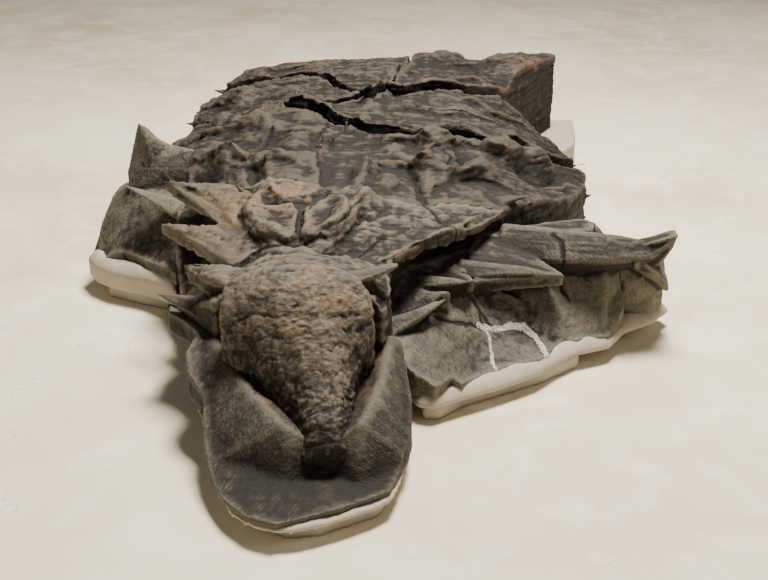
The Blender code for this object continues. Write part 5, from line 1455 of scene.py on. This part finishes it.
    def opened(self, x: np.ndarray, y: np.ndarray) -> np.ndarray:
        """Step in plan that draws the block back from the open cracks, by a width that varies along them."""
        step = np.zeros((len(x), 2))
        for line, width in self.open_cracks:
            plain = from_line(x, y, line)
            near_x, near_y = to_outline(x, y, tuple(line) + tuple(line[-2:0:-1]))
            vary = 0.55 + 0.45 * crust(flat(x, y), 0.09, 3, 0.6, 131)
            pull = width * vary * np.exp(-(plain / 0.045) ** 2)
            away = np.stack([x - near_x, y - near_y], 1) / np.maximum(plain, 1e-5)[:, None]
            step += away * pull[:, None]
        return np.clip(step, -0.03, 0.03)

    def marks(self, x: np.ndarray, y: np.ndarray, lines: tuple) -> Pair:
        """Signed and plain distance from the edge of the nearest of several lines, less its half width."""
        signed, plain = np.full_like(x, 0.5), np.full_like(x, 0.5)
        for half_width, points in lines:
            wobble = 0.002 * lumps(flat(x, y), 0.012, 7)
            one_signed, one_plain = side_of_line(x + wobble, y - wobble, points)
            one_signed = np.sign(one_signed) * np.maximum(np.abs(one_signed) - half_width, 0.0)
            nearer = one_plain - half_width < plain
            signed = np.where(nearer, one_signed, signed)
            plain = np.minimum(plain, one_plain - half_width)
        return signed, np.maximum(plain, 0.0)

    def build(self) -> bpy.types.Object:
        """Make the piece, dress it and put it in the frame's place."""
        item = self.skin()
        self.carve(item)
        item.data.shade_smooth()
        item.data.materials.clear()
        item.data.materials.append(self.finish)
        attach(item, "root")
        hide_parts(*self.replaces)
        LOG.info("%s: %d faces", item.name, len(item.data.polygons))
        return item


@dataclass
class Head:
    """Skull roof and the bib of rock that it lies in."""

    skull_voxel: float = 0.0035
    bib_voxel: float = 0.0045

    def build(self) -> None:
        """Build and dress both pieces."""
        crusty = StoneFinish(
            "skull_stone", dark=(0.066, 0.049, 0.032), light=(0.125, 0.096, 0.063),
            ochre=(0.230, 0.125, 0.050), ochre_from=0.60, stroke_share=0.15, grain=170.0,
            relief=0.005).material()
        Piece("skull_piece", SKULL_OUTLINE, skull_height, SKULL_BASE, Cover.CRUST, crusty, ("skull",),
              "skull", cell=0.005, voxel=self.skull_voxel, margin=-0.002, stain=self.skull_stain,
              shelter=0.35, shade=self.skull_shade).build()
        dressed = StoneFinish(
            "bib_stone", dark=(0.024, 0.020, 0.013), light=(0.052, 0.044, 0.029), pale=(0.215, 0.190, 0.138),
            ochre=(0.105, 0.058, 0.026), ochre_from=0.80, stroke_turn=66.0, stroke_share=0.75,
            second_turn=-18.0).material()
        Piece("snout_rock_piece", SNOUT_RIM + NECK_FRONT[-2:0:-1], snout_height, SNOUT_BASE, Cover.CHISELLED,
              dressed, ("snout_rock",), "snout_rock", voxel=self.bib_voxel,
              hollows=((BIB_HOLLOW, BIB_BASE), (CHEEK_HOLLOW, CHEEK_BASE)), stain=self.groove_rust_and_shade,
              shelter=0.6, shade=self.bib_shade).build()

    def skull_stain(self, x: np.ndarray, y: np.ndarray) -> np.ndarray:
        """More ochre towards the back and the middle of the roof."""
        return 0.5 * ease((y + 1.15) / 0.20) * np.clip(1 - np.abs(x + 0.14) / 0.20, 0.2, 1.0)

    def skull_shade(self, x: np.ndarray, y: np.ndarray, z: np.ndarray) -> np.ndarray:
        """Painted shade on the snout and painted light on the back of the roof."""
        return 0.85 * ease((-1.12 - y) / 0.07) - 0.20 * ease((y + 1.08) / 0.10)

    def groove_rust_and_shade(self, x: np.ndarray, y: np.ndarray) -> np.ndarray:
        """Share inside the crests, for the rust-brown walls between the crests and the skull and for painted
        shade there.
        """
        return ease((depth_in(x, y, LEFT_CREST + RIGHT_CREST[::-1]) + 0.004) / 0.014)

    def bib_shade(self, x: np.ndarray, y: np.ndarray, z: np.ndarray) -> np.ndarray:
        """Painted shade towards the front rim and inside the crests."""
        return 0.60 * ease((-1.22 - y) / 0.10) + 0.35 * self.groove_rust_and_shade(x, y)


@dataclass
class Shoulders:
    """Neck with its rings of spines, right shoulder slab and left wing."""

    neck_voxel: float = 0.005
    slab_voxel: float = 0.0045
    wing_voxel: float = 0.0045
    lap: float = 0.004

    def build(self) -> None:
        """Build and dress the three pieces."""
        bony = StoneFinish(
            "neck_stone", dark=(0.046, 0.035, 0.023), light=(0.108, 0.083, 0.056), ochre_from=0.66,
            stroke_turn=8.0, stroke_share=0.45).material()
        Piece("neck_piece", NECK_FRONT + NECK_RIGHT[1:] + NECK_BACK[1:] + NECK_LEFT[1:], body_height,
              TRUNK_BASE, Cover.LAYERED, bony, ("neck",), "neck", voxel=self.neck_voxel, spines=NECK_SPINES,
              blades=NECK_BLADES, cracks=NECK_CRACKS, margin=self.lap, stain=self.plate_stain, shelter=0.7,
              hollows=((NECK_FOOT + NECK_OUTER[::-1], LEDGE), (CHEEK_HOLLOW, CHEEK_BASE))).build()
        slab = StoneFinish(
            "slab_stone", dark=(0.074, 0.065, 0.046), light=(0.135, 0.120, 0.087), ochre_from=0.84,
            stroke_turn=-52.0, stroke_share=0.65).material()
        Piece("right_shoulder_piece", SLAB_OUTLINE + NECK_FOOT[::-1], slab_height, SHOULDER_BASE,
              Cover.CHISELLED, slab, ("right_shoulder",), "right_shoulder", voxel=self.slab_voxel,
              spines=SHOULDER_SPINES, blades=SHOULDER_BLADES, cracks=SLAB_CRACKS, fills=SLAB_FILLS,
              shelter=0.12, shade=self.slab_shade).build()
        wing = StoneFinish(
            "wing_stone", dark=(0.086, 0.074, 0.053), light=(0.145, 0.126, 0.091), ochre_from=0.82,
            stroke_turn=70.0, stroke_share=0.6).material()
        Piece("left_wing_piece", WING_OUTLINE, wing_height, WING_BASE, Cover.CHISELLED, wing, ("left_wing",),
              "left_wing", voxel=self.wing_voxel, spines=WING_SPINES, blades=WING_BLADES, shelter=0.2).build()

    def slab_shade(self, x: np.ndarray, y: np.ndarray, z: np.ndarray) -> np.ndarray:
        """Darker horns and plates, and painted light on the rock below the long horn, where the horn's shadow
        falls.
        """
        raised = ease((z - 0.195) / 0.030)
        return 0.85 * raised - 0.9 * ease((x - 0.50) / 0.10) * (1.0 - raised)

    def plate_stain(self, x: np.ndarray, y: np.ndarray) -> np.ndarray:
        """Ochre on the neck plates and the left blades."""
        middle = np.exp(-((x + 0.20) ** 2 / 0.02 + (y + 0.50) ** 2 / 0.04))
        blades = np.exp(-((x + 0.42) ** 2 / 0.02 + (y + 0.45) ** 2 / 0.03))
        return 0.7 * middle + 0.6 * blades


@dataclass
class Trunk:
    """Blocks behind the neck, parted along the open cracks."""

    voxel: float = 0.005
    front_voxel: float = 0.0064
    thorn_width: float = 0.026
    thorn_height: float = 0.015
    thorn_fullness: float = 0.05

    def thorns(self) -> tuple:
        """Small upright spikes on the midline."""
        made = []
        for x, y, height in SPIKES:
            foot = float(body_height(np.array([x]), np.array([y]))[0])
            points = ((x, y, foot - 0.03), (x, y + 0.005, foot + 0.4 * height),
                      (x + 0.002, y + 0.015, foot + height))
            made.append((points, self.thorn_width, self.thorn_height, self.thorn_fullness))
        return tuple(made)

    def build(self) -> None:
        """Build and dress the five blocks."""
        half = -0.5 * CRACK
        # The trunk and hip colours are darker than the neck's, partly as the rock's own darker colour and
        # partly as painted shade for the shadow of the ledges and of the faces turned from the light.
        bony = StoneFinish(
            "trunk_stone", dark=(0.015, 0.011, 0.007), light=(0.043, 0.033, 0.021),
            pale=(0.145, 0.113, 0.078), ochre_from=0.70, stroke_turn=3.0, stroke_along=22.0,
            stroke_share=0.55).material()
        rusty = StoneFinish(
            "hip_stone", dark=(0.018, 0.012, 0.009), light=(0.040, 0.028, 0.020), pale=(0.120, 0.092, 0.068),
            ochre_from=0.66, ochre=(0.200, 0.090, 0.036), stroke_turn=6.0, stroke_along=60.0,
            stroke_share=0.25).material()
        front = (NECK_BACK[::-1] + TRUNK_RIGHT_FRONT + MAIN_CRACK[-3::-1] + LEFT_CRACK[-2:1:-1]
                 + TRUNK_LEFT_FRONT)
        blocks = (
            ("trunk_front", front, TRUNK_FRONT_SPINES + self.thorns(), TRUNK_BASE, self.front_voxel, bony),
            ("trunk_middle", MAIN_CRACK[:-1] + TRUNK_RIGHT_BACK + HIP_CRACK[::-1] + WEDGE_CRACK[1:2],
             TRUNK_MIDDLE_SPINES, TRUNK_BASE, self.voxel, bony),
            ("trunk_left", LEFT_CRACK[2:] + WEDGE_CRACK[1:] + REAR_CRACK[1:-1] + TRUNK_LEFT_EDGE,
             TRUNK_LEFT_SPINES, TRUNK_BASE, self.voxel, bony),
            ("trunk_back", REAR_CRACK[-2::-1] + HIP_MIDLINE[:3] + BACK_EDGE,
             TRUNK_BACK_SPINES, TRUNK_BASE, self.voxel, bony),
            ("hip", HIP_CRACK[1:] + HIP_FACE[1:] + HIP_EDGE + HIP_MIDLINE[2:0:-1],
             (), HIP_BASE, self.voxel, rusty),
        )
        for name, outline, spines, base, voxel, stone in blocks:
            Piece(f"{name}_piece", outline, body_height, base, Cover.LAYERED, stone, (name,), name,
                  voxel=voxel, spines=spines, cracks=TRUNK_CRACKS, margin=half, stain=self.rust,
                  open_cracks=OPEN_CRACKS, shelter=0.9, shade=self.flank_shade).build()

    def flank_shade(self, x: np.ndarray, y: np.ndarray, z: np.ndarray) -> np.ndarray:
        """Painted shade low on the right flank and between the main crack and the neck."""
        flank = ease((x - 0.46) / 0.12) * ease((0.35 - z) / 0.08) * ease((0.60 - y) / 0.10)
        middle = np.exp(-((x - 0.02) ** 2 / 0.06 + (y - 0.02) ** 2 / 0.05))
        return 0.90 * flank + 0.40 * middle

    def rust(self, x: np.ndarray, y: np.ndarray) -> np.ndarray:
        """Rust along the front edge of the hip block and over its right side."""
        return 0.60 * np.exp(-(from_line(x, y, RUST_LINE) / 0.09) ** 2)


@dataclass
class Stand:
    """Plaster trays under the rock, the blocks under them and the plinth under the hip."""

    lip: float = 0.030
    voxel: float = 0.0075
    support_gap: float = 0.001
    plinth_gap: float = 0.0006

    def level_top(self, level: float) -> Height:
        """Flat top of a support or of the plinth."""
        return lambda x, y: np.full_like(x, level)

    def tray_top(self, outline: Line, level: float, rise: float) -> Height:
        """Top of a tray: it climbs from its rim to the rock, with a torn edge, and lies flat below it."""

        def top(x: np.ndarray, y: np.ndarray) -> np.ndarray:
            """Height of the tray at places in plan."""
            deep = depth_in(x, y, outline)
            torn = 0.006 * crust(flat(x, y), 0.03, 3, 0.6, 121)
            slope = (rise + torn) * ease(deep / self.lip) * (1.0 - ease((deep - 0.055) / 0.03))
            return level - 0.010 + 0.0098 * ease(deep / 0.010) + slope

        return top

    def build(self) -> None:
        """Build and dress the trays, supports and plinth."""
        plaster = PlasterFinish("stand_plaster").material()
        grey = PlasterFinish("support_plaster", white=(0.430, 0.390, 0.330),
                             shade=(0.350, 0.310, 0.255)).material()
        trays = (("snout", SNOUT_TRAY, SNOUT_BASE, 0.000), ("shoulder", SLAB_TRAY, SHOULDER_BASE, 0.014),
                 ("wing", WING_TRAY, WING_BASE, 0.016), ("trunk", TRUNK_TRAY, TRUNK_BASE, 0.0))
        for name, outline, level, rise in trays:
            node = f"stand_tray_{name}"
            Piece(f"{node}_piece", outline, self.tray_top(outline, level, rise), TRAY_BASE, Cover.PLASTER,
                  plaster, (node,), node, voxel=self.voxel, margin=-0.008 if name == "snout" else 0.0).build()
        supports = (("snout", SNOUT_SUPPORT), ("shoulder", SLAB_SUPPORT), ("wing", WING_SUPPORT),
                    ("trunk", TRUNK_SUPPORT))
        for name, outline in supports:
            node = f"stand_support_{name}"
            Piece(f"{node}_piece", outline, self.level_top(TRAY_BASE - self.support_gap), 0.0, Cover.PLASTER,
                  grey, (node,), node, voxel=self.voxel).build()
        Piece("stand_plinth_piece", PLINTH, self.level_top(HIP_BASE - self.plinth_gap), 0.0, Cover.PLASTER,
              plaster, ("stand_plinth",), "stand_plinth", voxel=self.voxel).build()


@dataclass
class Studio:
    """Camera at the photograph's angle, pale floor and soft lights."""

    place: tuple[float, float, float] = (0.048, -3.34, 1.45)
    tilt: float = 66.0
    lens: float = 53.9
    sensor: float = 36.0
    floor_reach: float = 14.0
    floor_count: int = 15
    sky: tuple[float, float, float, float] = (1.0, 0.97, 0.93, 1.0)
    sky_strength: float = 0.12
    aim: tuple[float, float, float] = (0.0, 0.0, 0.2)

    def lamps(self) -> tuple:
        """Name, place, size, watts and colour of each light."""
        return (
            ("key", (0.7, 0.45, 4.7), 1.3, 665.0, (1.0, 0.955, 0.87)),
            ("side", (3.2, -2.4, 3.4), 1.6, 22.0, (1.0, 0.96, 0.90)),
            ("front", (-1.6, -4.2, 3.4), 2.5, 11.0, (1.0, 0.97, 0.94)),
        )

    def camera(self) -> None:
        """Make the camera and use it."""
        data = bpy.data.cameras.new("camera")
        data.lens = self.lens
        data.sensor_width = self.sensor
        item = bpy.data.objects.new("camera", data)
        item.location = self.place
        item.rotation_euler = (math.radians(self.tilt), 0.0, 0.0)
        bpy.context.scene.collection.objects.link(item)
        bpy.context.scene.camera = item

    def floor(self) -> None:
        """Wide floor as a flat grid of square cells."""
        line = np.linspace(-self.floor_reach, self.floor_reach, self.floor_count)
        x, y = np.meshgrid(line, line)
        index = np.arange(x.size).reshape(x.shape)
        faces = np.stack([index[:-1, :-1], index[:-1, 1:], index[1:, 1:], index[1:, :-1]], 2).reshape(-1, 4)
        item = mesh_object("floor", Shell(flat(x, y), faces))
        item.data.materials.append(FloorFinish().material())

    def light(self, name: str, place: tuple, size: float, power: float, colour: tuple) -> None:
        """Square soft light that faces the object."""
        data = bpy.data.lights.new(name, "AREA")
        data.energy = power
        data.size = size
        data.color = colour
        item = bpy.data.objects.new(name, data)
        item.location = place
        toward = np.array(self.aim) - np.array(place)
        item.rotation_euler = (math.acos(-toward[2] / np.linalg.norm(toward)), 0.0,
                               math.atan2(toward[1], toward[0]) - math.pi / 2)
        bpy.context.scene.collection.objects.link(item)

    def build(self) -> None:
        """Set up the studio."""
        self.camera()
        self.floor()
        world = bpy.data.worlds.new("studio")
        world.use_nodes = True
        world.node_tree.nodes["Background"].inputs[0].default_value = self.sky
        world.node_tree.nodes["Background"].inputs[1].default_value = self.sky_strength
        bpy.context.scene.world = world
        for lamp in self.lamps():
            self.light(*lamp)


def main() -> None:
    """Build the whole scene."""
    logging.basicConfig(level=logging.INFO, format="%(name)s %(message)s")
    Studio().build()
    Head().build()
    Shoulders().build()
    Trunk().build()
    Stand().build()


if __name__ == "__main__":
    main()
